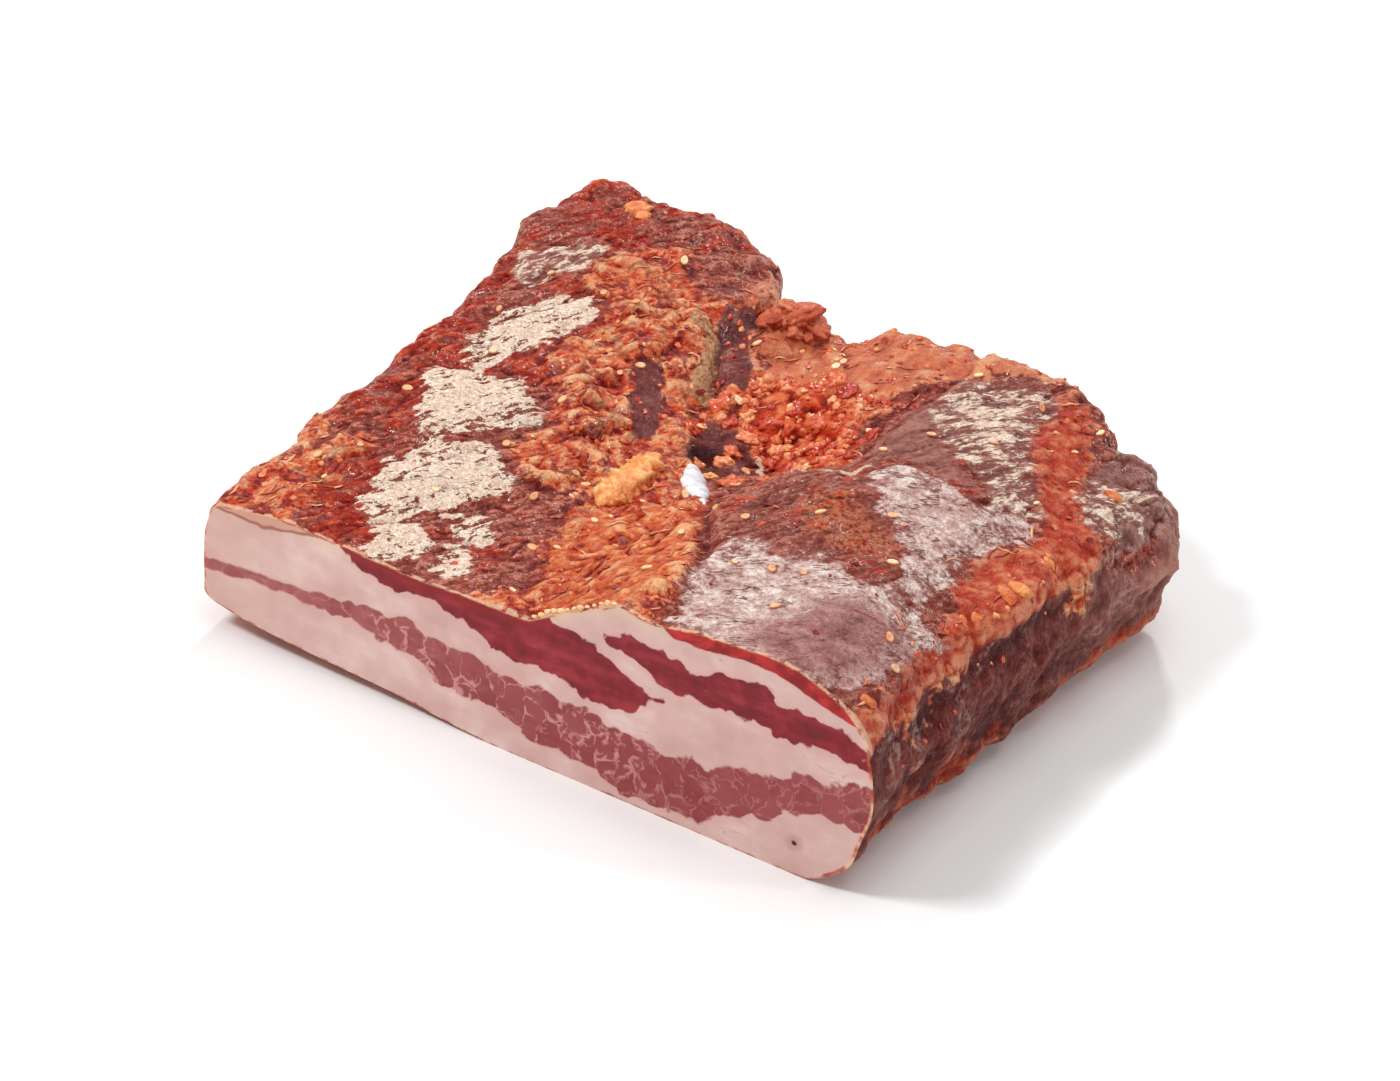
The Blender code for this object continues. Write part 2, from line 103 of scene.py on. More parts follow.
LEAN_OUTER_BOTTOM = [
    (215, 35), (200, 35.5), (190, 36.4), (180, 36.6), (170, 37), (160, 38), (152, 38), (144, 36.8),
    (136, 37.2), (127, 41), (119, 43),
]
LEAN_CAP_BOTTOM = [
    (132, 53), (136, 51), (146, 51.2), (156, 53), (165, 53.2), (173, 51), (181, 48.4), (190, 46), (215, 45),
]
INNER_WANDER = [(0, 0), (50, -14), (100, -28), (150, -40), (200, -44)]
CAP_WANDER = [(0, 0), (45, -12), (72, -25), (92, -21), (108, -6), (150, -3), (200, 0)]
LOWER_WANDER = [(0, 0), (60, 6), (120, -5), (200, 4)]
CAP_HINGE = (140, 185)
HOLLOW = (107, 117)
CLEFT = [(69, 184), (64, 150), (80, 118)]
SEED_COUNT = 38
CRUMB_COUNT = 26
CRUMB_RADIUS = (2.6, 4.4)
CRUST_DRAW = 41

# The skin's mesh: cells across, along and up, and how many of them make one on the flat underside
CELLS = (240, 252, 36)
UNDER_STEP = 6

# The crust's zones: outlines in plan (x, y), each with how far it is grown
CREAM_PATCHES = [
    ([(14, 100), (12, 110), (10, 123), (18, 134), (25, 139), (33, 142), (36, 135), (31, 128), (32, 115),
      (26, 108), (21, 95)], 0.5),
    ([(25, 56), (20, 67), (12, 79), (14, 89), (23, 93), (34, 97), (42, 89), (49, 82), (43, 72), (38, 63),
      (33, 53)], 0.5),
    ([(32, 19), (30, 30), (29, 41), (34, 54), (40, 61), (47, 62), (57, 54), (59, 49), (58, 43), (53, 36),
      (49, 28), (44, 19), (38, 14)], 0.5),
    ([(43, 2), (44, 14), (49, 22), (56, 17), (57, 6), (52, 1)], 0.0),
    ([(54, 28), (58, 37), (69, 29), (67, 24), (59, 25)], 0.0),
    ([(59, 17), (61, 20), (65, 19), (70, 14), (70, 8), (68, 5), (64, 6), (63, 9), (64, 12)], 0.0),
    ([(-1, 147), (5, 157), (14, 166), (20, 165), (20, 155), (15, 146), (11, 136), (4, 140)], -4.5),
    ([(133, 148), (135, 160), (142, 171), (151, 177), (158, 173), (156, 156), (162, 141), (170, 130),
      (177, 116), (170, 112), (161, 124), (151, 127), (142, 140)], -1.5),
    ([(188, 131), (184, 142), (186, 152), (193, 160), (195, 150), (195, 138)], -1.0),
]
VIOLET_PATCHES = [
    ([(126, 22), (123, 35), (127, 48), (133, 52), (140, 45), (146, 52), (155, 51), (163, 45), (172, 50),
      (184, 50), (188, 48), (185, 34), (185, 20), (181, 5), (172, -4), (146, -4), (136, 0), (131, 14)], 0.0),
    ([(139, 96), (144, 107), (155, 107), (168, 104), (176, 113), (183, 112), (181, 98), (176, 82),
      (178, 70), (176, 54), (171, 50), (168, 60), (163, 72), (155, 79), (147, 87)], 0.0),
    ([(135, 100), (124, 128), (124, 146), (133, 154), (143, 146), (147, 131), (160, 123), (170, 112),
      (164, 108), (154, 108), (143, 109)], -4.0),
]
PASTE_PATCHES = [
    ([(74, -6), (131, -6), (128, 20), (120, 42), (110, 62), (103, 80), (93, 95), (82, 104), (82, 128),
      (84, 145), (72, 160), (62, 180), (56, 166), (46, 166), (36, 184), (28, 178), (22, 160), (22, 148),
      (34, 142), (40, 132), (34, 122), (36, 108), (46, 97), (52, 82), (48, 66), (60, 57), (72, 59),
      (80, 48), (79, 34), (90, 15), (77, 2)], 0.0),
    ([(-14, -6), (24, -6), (22, 12), (23, 46), (13, 48), (8, 34), (2, 48), (-3, 72), (-14, 76)], 0.0),
    ([(181, 36), (184, 50), (184, 64), (177, 69), (179, 77), (176, 84), (182, 98), (182, 113), (172, 131),
      (160, 153), (157, 182), (168, 178), (178, 152), (188, 132), (200, 122), (206, 90), (204, 2),
      (186, -4), (187, 20)], 0.0),
    ([(82, 145), (84, 128), (96, 118), (112, 110), (130, 106), (124, 120), (119, 135), (122, 155),
      (131, 168), (142, 180), (157, 186), (170, 184), (160, 210), (60, 210), (62, 182), (72, 162)], 0.0),
]
DARK_PATCHES = [
    ([(54, 122), (54, 127), (58, 130), (74, 102), (73, 96), (69, 96)], 0.6),
    ([(59, 162), (63, 174), (80, 142), (80, 138), (74, 139), (64, 150)], 0.6),
    ([(81, 108), (80, 121), (88, 121), (97, 117), (102, 110), (100, 102), (96, 98), (90, 98)], 0.5),
]
SINGLE_PATCHES = {
    "smooth": [
        (152, 2), (155, 22), (162, 33), (171, 38), (179, 42), (184, 33), (185, 22), (181, 6), (170, -2),
    ],
    "hollow": [
        (74, 134), (78, 142), (90, 147), (108, 147), (122, 131), (130, 108), (115, 106), (96, 119),
        (86, 127),
    ],
    "tan": [
        (83, 36), (87, 50), (99, 77), (108, 62), (116, 49), (124, 24), (123, 4), (100, 3), (87, 20),
    ],
    "tint": [(128, 76), (141, 84), (161, 74), (165, 56), (151, 58), (139, 60)],
    "lobe": [(180, 154), (179, 180), (206, 180), (208, 140), (200, 126), (195, 137), (188, 134)],
    "peach": [(64, 168), (72, 156), (77, 148), (84, 148), (83, 158), (80, 170), (70, 176)],
}

# What lies on the crust: paths and places in plan, and counts
NUGGET = [(81, 59), (81, 68), (81.5, 76), (80.5, 84), (80, 92)]
PALE_STRIP = [(57, 154), (62, 150), (66, 141), (71, 130)]
TORN_PATH = [(68, 10), (62, 45), (66, 80), (50, 115), (50, 150)]
CRESCENT = [(104.5, 74), (97.2, 82.5), (92.6, 89.5), (89.2, 96), (87.2, 101.5)]
CREAM_LINE = [(96, 120), (104, 110), (113, 101), (122, 95), (131, 97), (137, 102)]
DARK_PIT = (87, 107)
VEIN = (177.0, 9.0)
CRAG = (79, 171)
CRAG_FLAPS = [
    (80, 171, 52, 6.5, 0.4, -0.3), (74, 170, 48, 7.0, 0.2, -0.35), (84, 172, 49, 5.0, -0.3, 0.5),
]
RIM_LUMPS = [(192, 84), (190, 79), (193, 101), (191, 105), (188.5, 66), (186.5, 9), (187, 61), (188, 150)]
SMALL_SEEDS = 40
HOLLOW_TRIES = 200
CLOT_COUNT = 460
FLAKE_COUNT = 260
SHRED_COUNT = 150
SHRED_RINGS = 9
CRAG_LUMPS = 34

# Reaches in millimetres: of a field's values, of the zones' wandering borders and of three small things
DEEP = 20
ZONE_WANDER = 2.2
STRIP_REACH = 3.4
LINE_REACH = 0.9
PIT_REACH = 5

# How raggedly the noises break the edges of the crust's patches, in millimetres
PATCH_EDGE = dict(mid=12, streak=18, fine=5)

# The headings of the streaks, cracks and wisps in the crust
STREAK_TURN = math.radians(60)
CRACK_TURN = math.radians(34)
WISP_TURN = math.radians(79)


def smooth_curve(points, at):
    """Monotone cubic through (position, value) points in rising order, held level past its ends."""
    px, pv = np.array(points, float).T
    step = np.diff(px)
    slope = np.diff(pv) / step
    same_way = slope[:-1] * slope[1:] > 0
    total = np.where(same_way, slope[:-1] + slope[1:], 1.0)
    inner = np.where(same_way, 2 * slope[:-1] * slope[1:] / total, 0.0)
    tangent = np.concatenate([slope[:1], inner, slope[-1:]])
    at = np.clip(np.asarray(at, float), px[0], px[-1])
    i = np.clip(np.searchsorted(px, at, side="right") - 1, 0, len(step) - 1)
    t = (at - px[i]) / step[i]
    along = t * t * (3 - 2 * t)
    bend = t * (1 - t) * step[i]
    return (1 - along) * pv[i] + along * pv[i + 1] + bend * ((1 - t) * tangent[i] - t * tangent[i + 1])


def ease(t):
    t = np.clip(t, 0, 1)
    return t * t * (3 - 2 * t)


def bell(x, y, centre, size):
    """A round bump of height 1 over the plan."""
    return np.exp(-((x - centre[0]) ** 2 + (y - centre[1]) ** 2) / size**2)


def distance_to_path(x, y, path):
    """Distance in plan from (x, y) to a path of straight runs."""
    nearest = np.full(np.shape(x), 1e9)
    for (ax, ay), (bx, by) in zip(path, path[1:]):
        dx, dy = bx - ax, by - ay
        t = np.clip(((x - ax) * dx + (y - ay) * dy) / (dx * dx + dy * dy), 0, 1)
        nearest = np.minimum(nearest, np.hypot(x - ax - t * dx, y - ay - t * dy))
    return nearest


def depth_inside(x, y, outline):
    """Distance to a closed outline: positive inside it, negative outside."""
    inside = np.zeros(np.shape(x), bool)
    for (ax, ay), (bx, by) in zip(outline, outline[1:] + outline[:1]):
        if ay != by:
            inside ^= ((ay > y) != (by > y)) & (x < (bx - ax) * (y - ay) / (by - ay) + ax)
    distance = distance_to_path(x, y, outline + outline[:1])
    return np.where(inside, distance, -distance)


def lumps(x, y, z, scale, octaves=3):
    """Fractal noise of about -1 to 1 whose lumps are scale millimetres across."""
    points = np.stack(np.broadcast_arrays(x, y, z), -1).reshape(-1, 3) / scale
    values = [noise.fractal(Vector(p), 1.0, 2.0, octaves) for p in points]
    return np.array(values).reshape(np.shape(x))


def pebbles(x, y, z, scale):
    """Rounded lumps scale millimetres across, with creases between them: about -0.5 to 0.5."""
    points = np.stack([x, y, z], -1) / scale
    return 0.5 - np.array([noise.voronoi(Vector(p))[0][0] for p in points])


def cap_edge(y):
    return LEAN_CAP_BOTTOM[0][0] + smooth_curve(CAP_WANDER, y)


def inner_edges(y):
    wander = smooth_curve(INNER_WANDER, y)
    return LEAN_INNER_BOTTOM[1][0] + wander, LEAN_INNER_BACK[-2][0] + wander


def in_cleft(x, y):
    """From 0 away from the cleft to 1 at its bottom."""
    return np.exp(-((distance_to_path(x, y, CLEFT) / 5) ** 2))


def top_height(x, y):
    behind = ease(y / 70)
    z = (1 - behind) * smooth_curve(CUT_TOP, x) + behind * smooth_curve(BODY_TOP, x)
    far = ease((y - 95) / 85)
    z = (1 - far) * z + far * smooth_curve(FAR_TOP, x) - 9 * bell(x, y, HOLLOW, 21) - 7 * in_cleft(x, y)
    on_cap = ease((x - cap_edge(y)) / 4) * ease((y - 12) / 25)
    return z + 2.5 * on_cap * (1 - ease((x - 165) / 20))


def bottom_height(x, y):
    lift = smooth_curve(CUT_BOTTOM, x) * (1 - ease(y / 60))
    thin_end = 3 * ease((34 - x) / 30) * ease(y / 60)
    far_end = 5 * ease((y - 165) / 35) + 9 * ease((y - 150) / 45) * ease((x - 145) / 45)
    return lift + thin_end + far_end


def rounded(u, v, w):
    """Rounds the long and far edges of the unit box that the slab is bent from."""
    size = np.array([CUT_WIDTH, LENGTH, NOMINAL_THICKNESS])
    p = np.stack([u, v, w], -1) * size
    thick_side = np.where(w > 0.5, CORNER_TOP, CORNER_BOTTOM)
    radius = np.where(u > 0.5, thick_side, CORNER_THIN_END)
    radius = np.maximum(radius, CORNER_FAR * ease((v - 0.8) / 0.15))
    low = np.stack([radius, np.full_like(radius, -LENGTH), radius], -1)
    core = np.clip(p, low, size - radius[..., None])
    reach = p - core
    length = np.linalg.norm(reach, axis=-1)
    shrink = np.where(length > radius, radius / np.maximum(length, 1e-9), 1.0)
    return np.moveaxis((core + reach * shrink[..., None]) / size, -1, 0)


def slab_point(u, v, w):
    """The slab's form: u across the cut face, v towards the far end and w upwards, each from 0 to 1."""
    u, v, w = rounded(u, v, w)
    plan_x = u * CUT_WIDTH + (u - 0.5) * 14 * v
    y = v * smooth_curve(FAR_EDGE, plan_x)
    left, right = smooth_curve(LEFT_EDGE, y), smooth_curve(RIGHT_EDGE, y)
    x = left + u * (right - left)
    bottom, top = bottom_height(x, y), top_height(x, y)
    z = bottom + w * (top - bottom)
    belly = 4 * w * (1 - w)
    x = x + BOW_RIGHT * belly * ease((u - 0.88) / 0.12) - BOW_LEFT * belly * ease((0.08 - u) / 0.08)
    y = y + BOW_FAR * belly * ease((v - 0.93) / 0.07)
    return x, y, z, w


def relief(u, v, w, x, y, z):
    """The lumps and creases of the cured surface that the solids have too."""
    coarse = lumps(x, y, z, 26)
    fine = lumps(x + 300, y, z, 11)
    behind_cut = 0.35 + 0.65 * ease(y / 25)
    crust = 1 - 0.55 * ease((x - cap_edge(y)) / 10)
    on_top = ease((w - 0.6) / 0.35)
    dz = on_top * behind_cut * (1.5 * coarse + 1.1 * crust * fine)
    on_side = ease((u - 0.9) / 0.1) - ease((0.1 - u) / 0.1)
    ridges = 0.9 * np.sin(z / 3.6 + 2 * coarse)
    dx = on_side * behind_cut * (1.4 * coarse + 0.9 * fine + ridges)
    dy = ease((v - 0.93) / 0.07) * (2.2 * coarse + 1.4 * fine)
    return x + dx, np.where(v > 0, y + dy, 0.0), z + dz


def box_grid(across, along, up, step):
    """Points (u, v, w) and faces of a unit box's surface. The underside's faces are step cells wide."""
    index, faces = {}, []

    def face(corners):
        faces.append([index.setdefault(corner, len(index)) for corner in corners])

    def sheet(rows, columns, corner):
        for a in range(rows):
            for b in range(columns):
                face([corner(a, b), corner(a + 1, b), corner(a + 1, b + 1), corner(a, b + 1)])

    sheet(across, along, lambda i, j: (i, j, up))
    sheet(across, up, lambda i, k: (i, 0, k))
    sheet(up, across, lambda k, i: (i, along, k))
    sheet(up, along, lambda k, j: (0, j, k))
    sheet(along, up, lambda j, k: (across, j, k))
    for i in range(0, across, step):
        for j in range(0, along, step):
            far_i, far_j = i + step, j + step
            left = range(j, far_j) if i == 0 else [j]
            back = range(i, far_i) if far_j == along else [i]
            right = range(far_j, j, -1) if far_i == across else [far_j]
            front = range(far_i, i, -1) if j == 0 else [far_i]
            ring = [(i, n, 0) for n in left] + [(n, far_j, 0) for n in back]
            face(ring + [(far_i, n, 0) for n in right] + [(n, j, 0) for n in front])
    return np.array(list(index)) / (across, along, up), faces


def crowd_edges(t, share=0.3):
    """Draws grid lines from 0 to 1 towards both ends, where the corners are round."""
    return t - share * np.sin(2 * math.pi * t) / (2 * math.pi)


def placed(points):
    """Millimetres in the cut's own frame to metres in the row frame."""
    return (np.asarray(points, float) - [BOX_CENTRE[0], BOX_CENTRE[1], 0]) * MM


def field(x, y, patches):
    """How far inside the nearest of the patches each point is, in millimetres, negative outside them all."""
    return np.max([depth_inside(x, y, outline) + grow for outline, grow in patches], axis=0)


def field_at(x, y, patches=PASTE_PATCHES):
    """The same at one plan position, for the chilli paste unless told otherwise."""
    return float(field(np.array([x]), np.array([y]), patches)[0])


def band_depths(x, y, w):
    """How deep inside each lean band a point of the skin is: lower, inner, outer and cap."""
    y = np.clip(y, 0, 185)

    def at_cut(x0, share, above=False):
        """The height in the cut face at a share of the way up, from the underside or the lower band."""
        x0 = np.clip(x0, 0, CUT_WIDTH)
        low, high = smooth_curve(CUT_BOTTOM, x0), smooth_curve(CUT_TOP, x0)
        if above:
            low = np.interp(x0, *np.transpose(LEAN_LOWER_TOP)) + SEAM
        return low + share * (high - low)

    lower_x = x - smooth_curve(LOWER_WANDER, y)
    low, high = at_cut(lower_x, 0), at_cut(lower_x, 1)
    thickness = np.maximum(top_height(x, y) - bottom_height(x, y), 1)
    start = (at_cut(lower_x, 0, True) - SEAM - low) / (high - low) + SEAM / thickness
    above_share = (w - start) / (1 - start)
    lower = depth_inside(lower_x, at_cut(lower_x, w), LEAN_LOWER_BOTTOM + LEAN_LOWER_TOP[::-1])
    inner_x = x - smooth_curve(INNER_WANDER, y)
    inner_shape = LEAN_INNER_BOTTOM + LEAN_INNER_BACK + [(33, 60)]
    inner = depth_inside(inner_x, at_cut(inner_x, above_share, True), inner_shape)
    wander, cap_x = smooth_curve(CAP_WANDER, y), x
    for _ in range(6):
        cap_x = x - wander * (1 - ease((cap_x - CAP_HINGE[0]) / (CAP_HINGE[1] - CAP_HINGE[0])))
    outer_shape = LEAN_OUTER_BOTTOM[::-1] + LEAN_OUTER_TOP[::-1]
    outer = depth_inside(cap_x, at_cut(cap_x, above_share, True), outer_shape)
    cap = depth_inside(cap_x, at_cut(cap_x, w), LEAN_CAP_BOTTOM + [(215, 90), (132, 90)])
    return lower, inner, outer, cap


def add_attribute(mesh, name, values):
    attribute = mesh.attributes.new(name, "FLOAT", "POINT")
    attribute.data.foreach_set("value", np.ascontiguousarray(values, np.float32))


def vertex_normals(mesh):
    normals = np.empty(len(mesh.vertices) * 3, np.float32)
    mesh.vertices.foreach_get("normal", normals)
    return normals.reshape(-1, 3)


def band_at(x, y):
    """Which band shows on the upper surface at (x, y)."""
    left, right = inner_edges(y)
    if x > cap_edge(y):
        return "cap"
    return "inner" if left < x < right else "fat"


def clear_of_bands(x, y, reach):
    """True where nothing within reach lies on another band, so that a topping touches one node only."""
    around = [(x + reach * math.cos(a), y + reach * math.sin(a)) for a in np.linspace(0, 2 * math.pi, 9)]
    return len({band_at(*p) for p in around}) == 1


def seed_spots():
    """Where the chilli seeds lie: (x, y, turn), spread evenly, fewer on bare lean than on the crusted fat."""
    draw = random.Random(CRUST_DRAW)
    spots = []
    while len(spots) < SEED_COUNT:
        x, y, turn = draw.uniform(8, 182), draw.uniform(8, 176), draw.uniform(0, math.pi)
        rare = draw.random()
        if rare > 0.45 and band_at(x, y) != "fat":
            continue
        if not clear_of_bands(x, y, 5) or any(math.hypot(x - a, y - b) < 13 for a, b, _ in spots):
            continue
        spots.append((x, y, turn))
    return spots


def crumb_spots():
    """Where the crumbs of spice paste lie in the hollow: (x, y, radius, turn)."""
    draw = random.Random(CRUST_DRAW + 1)
    spots = []
    while len(spots) < CRUMB_COUNT:
        angle, out = draw.uniform(0, 2 * math.pi), 27 * math.sqrt(draw.random())
        x, y = HOLLOW[0] - 3 + out * math.cos(angle), HOLLOW[1] + 4 + 1.25 * out * math.sin(angle)
        radius, turn = draw.uniform(*CRUMB_RADIUS), draw.uniform(0, math.pi)
        if band_at(x, y) != "fat" or not clear_of_bands(x, y, radius + 1.5):
            continue
        if any(math.hypot(x - a, y - b) < 0.9 * (radius + r) for a, b, r, _ in spots):
            continue
        spots.append((x, y, radius, turn))
    return spots


def along_streaks(x, y, stretch=3.5, turn=STREAK_TURN):
    """Turns plan positions so that noise over them is drawn out along the crust's streaks."""
    c, s = math.cos(turn), math.sin(turn)
    return (x * c + y * s) / stretch, -x * s + y * c


def recess(points, edges, rounds):
    """How far each point stands out from its smoothed neighbourhood along each axis."""
    smooth = points.copy()
    a, b = edges.T
    count = np.bincount(a, minlength=len(points)) + np.bincount(b, minlength=len(points)) + 1.0
    for _ in range(rounds):
        total = smooth.copy()
        for axis in range(3):
            total[:, axis] += np.bincount(a, smooth[b, axis], len(points))
            total[:, axis] += np.bincount(b, smooth[a, axis], len(points))
        smooth = total / count[:, None]
    return points - smooth


def cut_outline_distance(u, v, w, x, z):
    """Distance of the cut face's points from its outline, and a large value elsewhere."""
    distance = np.full(len(x), 9.0)
    on_cut = v == 0
    border = on_cut & ((u == 0) | (u == 1) | (w == 0) | (w == 1))
    way = np.where(w == 0, u, np.where(u == 1, 1 + w, np.where(w == 1, 3 - u, 4 - w)))
    ring = np.nonzero(border)[0][np.argsort(way[border])]
    path = list(zip(x[ring], z[ring]))
    distance[on_cut] = distance_to_path(x[on_cut], z[on_cut], path + path[:1])
    return distance


def linked(name, data):
    """A new object with this data, in the scene."""
    made = bpy.data.objects.new(name, data)
    bpy.context.scene.collection.objects.link(made)
    return made


def zone_fields(x, y, up, px, py):
    """How far inside each zone of the crust a point is, which counts on the upper surface only."""

    def on_top(depth):
        return np.clip(depth, -DEEP, DEEP) * up - DEEP * (1 - up)

    fields = {
        "cream": field(px, py, CREAM_PATCHES[:6]), "flaky": field(px, py, CREAM_PATCHES[6:]),
        "violet": field(px, py, VIOLET_PATCHES[:2]), "dull": field(px, py, VIOLET_PATCHES[2:]),
        "dark": field(px, py, DARK_PATCHES), "ember": field(px, py, PASTE_PATCHES[2:3]),
        "pale": STRIP_REACH - distance_to_path(px, py, PALE_STRIP),
        "line": LINE_REACH - distance_to_path(px, py, CREAM_LINE),
        "pit": PIT_REACH - np.hypot(x - DARK_PIT[0], 0.6 * (y - DARK_PIT[1])),
    }
    for name, outline in SINGLE_PATCHES.items():
        fields[name] = depth_inside(px, py, outline)
    fields = {name: on_top(depth) for name, depth in fields.items()}
    back = on_top(np.minimum(field(px, py, PASTE_PATCHES[3:]), -fields["hollow"]))
    fields["tan"] = np.maximum(fields["tan"], back)
    paste = np.clip(field(px, py, PASTE_PATCHES), -DEEP, DEEP)
    fields["paste"] = paste * up + (1 - up) * np.where(paste > 0, 2, -6)
    return fields


def fine_relief(x, y, z, v, w, up, px, py, fields):
    """How far the skin stands out from the slab's form, by the zone that a point is in."""

    def within(soft, *names):
        """From 0 outside the zones to 1 inside them."""
        return ease((np.max([fields[name] for name in names], axis=0) + soft) / (2 * soft))

    clots, beads = pebbles(px, py, z, 5.2), pebbles(px + 40, py, z, 2.4)
    mounds = np.abs(lumps(px, py + 70, z, 14, 2))
    small = lumps(x, y, z + 30, 2.6, 2)
    swells = lumps(x, y + 500, z, 13, 2)
    streak_x, streak_y = along_streaks(x, y)
    streaks = lumps(streak_x, streak_y, z + 11, 4.5)
    creases = -ease((0.1 - np.abs(lumps(streak_x, streak_y, z + 77, 7, 2))) / 0.1)
    fibres = np.abs(lumps(*along_streaks(px + 4 * swells, py - 4 * swells, 2.4), z, 7, 2))
    wisps = np.abs(lumps(*along_streaks(px + 7 * swells, py - 5 * swells, 2.6, WISP_TURN), z + 150, 8, 2))
    side_ridges = lumps(x, y / 2.4, z * 1.3 + 200, 7)

    middle, hollow = within(2, "tan") * (y < 80), within(2, "hollow")
    rough, even = within(2.5, "paste") * up, 1 - 0.6 * within(2, "violet", "smooth")
    strips = ease((field(px, py, DARK_PATCHES[:2]) + 1) / 2) * up
    calm = within(2, "ember", "tan") * (1 - hollow)
    torn = 0.3 + 0.7 * ease((12 - distance_to_path(x, y, TORN_PATH)) / 10 + 0.8 * lumps(x, y, z, 16))
    torn *= 1 - (0.55 - 0.25 * middle) * calm
    push = torn * (0.4 * clots + 0.35 * beads + 4.2 * fibres) + hollow * (1.8 * clots + 0.4 * beads)
    push += 1.6 * middle * wisps + (2.6 - 0.8 * calm) * mounds + 0.25 * small + 0.8 * swells
    push *= rough * (1 - strips)
    push += (1 - rough) * up * even * (0.55 * streaks + 0.3 * small + 0.7 * creases + 0.5 * swells)
    push += (1 - up) * (0.9 * side_ridges + 0.4 * small + 0.5 * clots + 0.3 * beads + 1.3 * swells)
    push += 1.8 * ease((fields["pale"] + 0.5) / 3.5) + 0.4 * ease((fields["line"] + 0.5) / 1.2)
    push += 0.3 * within(1, "cream", "flaky") + 0.9 * strips - 4.0 * ease((fields["pit"] + 1) / 5)
    push += ease((v - 0.9) / 0.1) * (1.6 * lumps(x, y, z + 400, 7) + 0.4 * clots)
    return push * (w > 0) * (v > 0) * (0.4 + 0.6 * ease(y / 8)) * (1 - 0.8 * ease((0.12 - w) / 0.12)), clots


def make_skin():
    """The whole slab as one closed mesh, with the fields that its materials read."""
    points, faces = box_grid(*CELLS, UNDER_STEP)
    u, v, w = crowd_edges(points[:, 0]), crowd_edges(points[:, 1], 0.2), crowd_edges(points[:, 2])
    u[points[:, 0] == 1], w[points[:, 2] == 1] = 1, 1
    x, y, z, share = slab_point(u, v, w)
    formed = np.stack(relief(u, v, w, x, y, z), -1)
    mesh = bpy.data.meshes.new("slab_skin")
    mesh.from_pydata(placed(formed).tolist(), [], faces)

    up = ease((w - 0.72) / 0.2)
    px, py = x + ZONE_WANDER * lumps(x, y, z + 50, 9), y + ZONE_WANDER * lumps(x, y, z + 90, 9)
    fields = zone_fields(x, y, up, px, py)
    push, clots = fine_relief(x, y, z, v, w, up, px, py, fields)
    moved = formed + vertex_normals(mesh) * push[:, None]
    behind = np.where(y < CRAG[1], (CRAG[1] - y) / 13, (y - CRAG[1]) / 3.5)
    crag = np.exp(-(((x - CRAG[0]) / np.where(x < CRAG[0], 8.0, 6.0)) ** 2) - behind**2)
    cleft = in_cleft(x, y) * ease((176 - y) / 12)
    moved[:, 2] += (6.5 * crag * (1 + 0.5 * clots) + 3.0 * cleft) * up
    moved[:, 1] = np.where(v > 0, moved[:, 1], 0.0)
    moved[:, 2] = np.maximum(moved[:, 2], 0.0)
    mesh.vertices.foreach_set("co", placed(moved).astype(np.float32).ravel())
    mesh.update()

    edges = np.empty(len(mesh.edges) * 2, np.int32)
    mesh.edges.foreach_get("vertices", edges)
    edges, normals = edges.reshape(-1, 2), vertex_normals(mesh)
    # cavity and shelter: how far each point stands out from its neighbourhood, near and wide. The crust's
    # colours darken where they are low, as painted shade in the creases.
    for name, rounds, size in (("cavity", 3, 0.35), ("shelter", 20, 1.2)):
        stand = np.einsum("ij,ij->i", recess(moved, edges, rounds), normals)
        fields[name] = np.clip(stand / size, -1, 1) * (w > 0) * (v > 0)
    fields.update(zip(("lower", "inner", "outer", "cap"), band_depths(x, y, share)))
    fields.update(side=1 - up, share=share, rim=cut_outline_distance(u, v, w, x, z))
    fields["below_top"] = smooth_curve(CUT_TOP, x) - z
    for name, values in fields.items():
        add_attribute(mesh, name, values)
    cut = np.array([all(points[i][1] == 0 for i in face) for face in faces])
    mesh.materials.append(crust_material())
    mesh.materials.append(cut_material())
    mesh.polygons.foreach_set("material_index", cut.astype(np.int32))
    mesh.polygons.foreach_set("use_smooth", np.ones(len(faces), bool))
    sharpen_cut(mesh, cut)
    return linked("slab_skin", mesh), Ground(moved, faces)


def sharpen_cut(mesh, cut):
    """Marks the knife's edge, where the cut face meets the crust, as sharp."""
    sides = {}
    for polygon, is_cut in zip(mesh.polygons, cut):
        for key in polygon.edge_keys:
            sides.setdefault(key, set()).add(bool(is_cut))
    sharp = [len(sides[tuple(sorted(edge.vertices))]) == 2 for edge in mesh.edges]
    attribute = mesh.attributes.get("sharp_edge") or mesh.attributes.new("sharp_edge", "BOOLEAN", "EDGE")
    attribute.data.foreach_set("value", sharp)


def rgb(red, green, blue):
    """A colour from 0 to 255 as seen on a screen, made linear."""
    channels = [c / 255 for c in (red, green, blue)]
    linear = [c / 12.92 if c <= 0.04045 else ((c + 0.055) / 1.055) ** 2.4 for c in channels]
    return (*linear, 1.0)


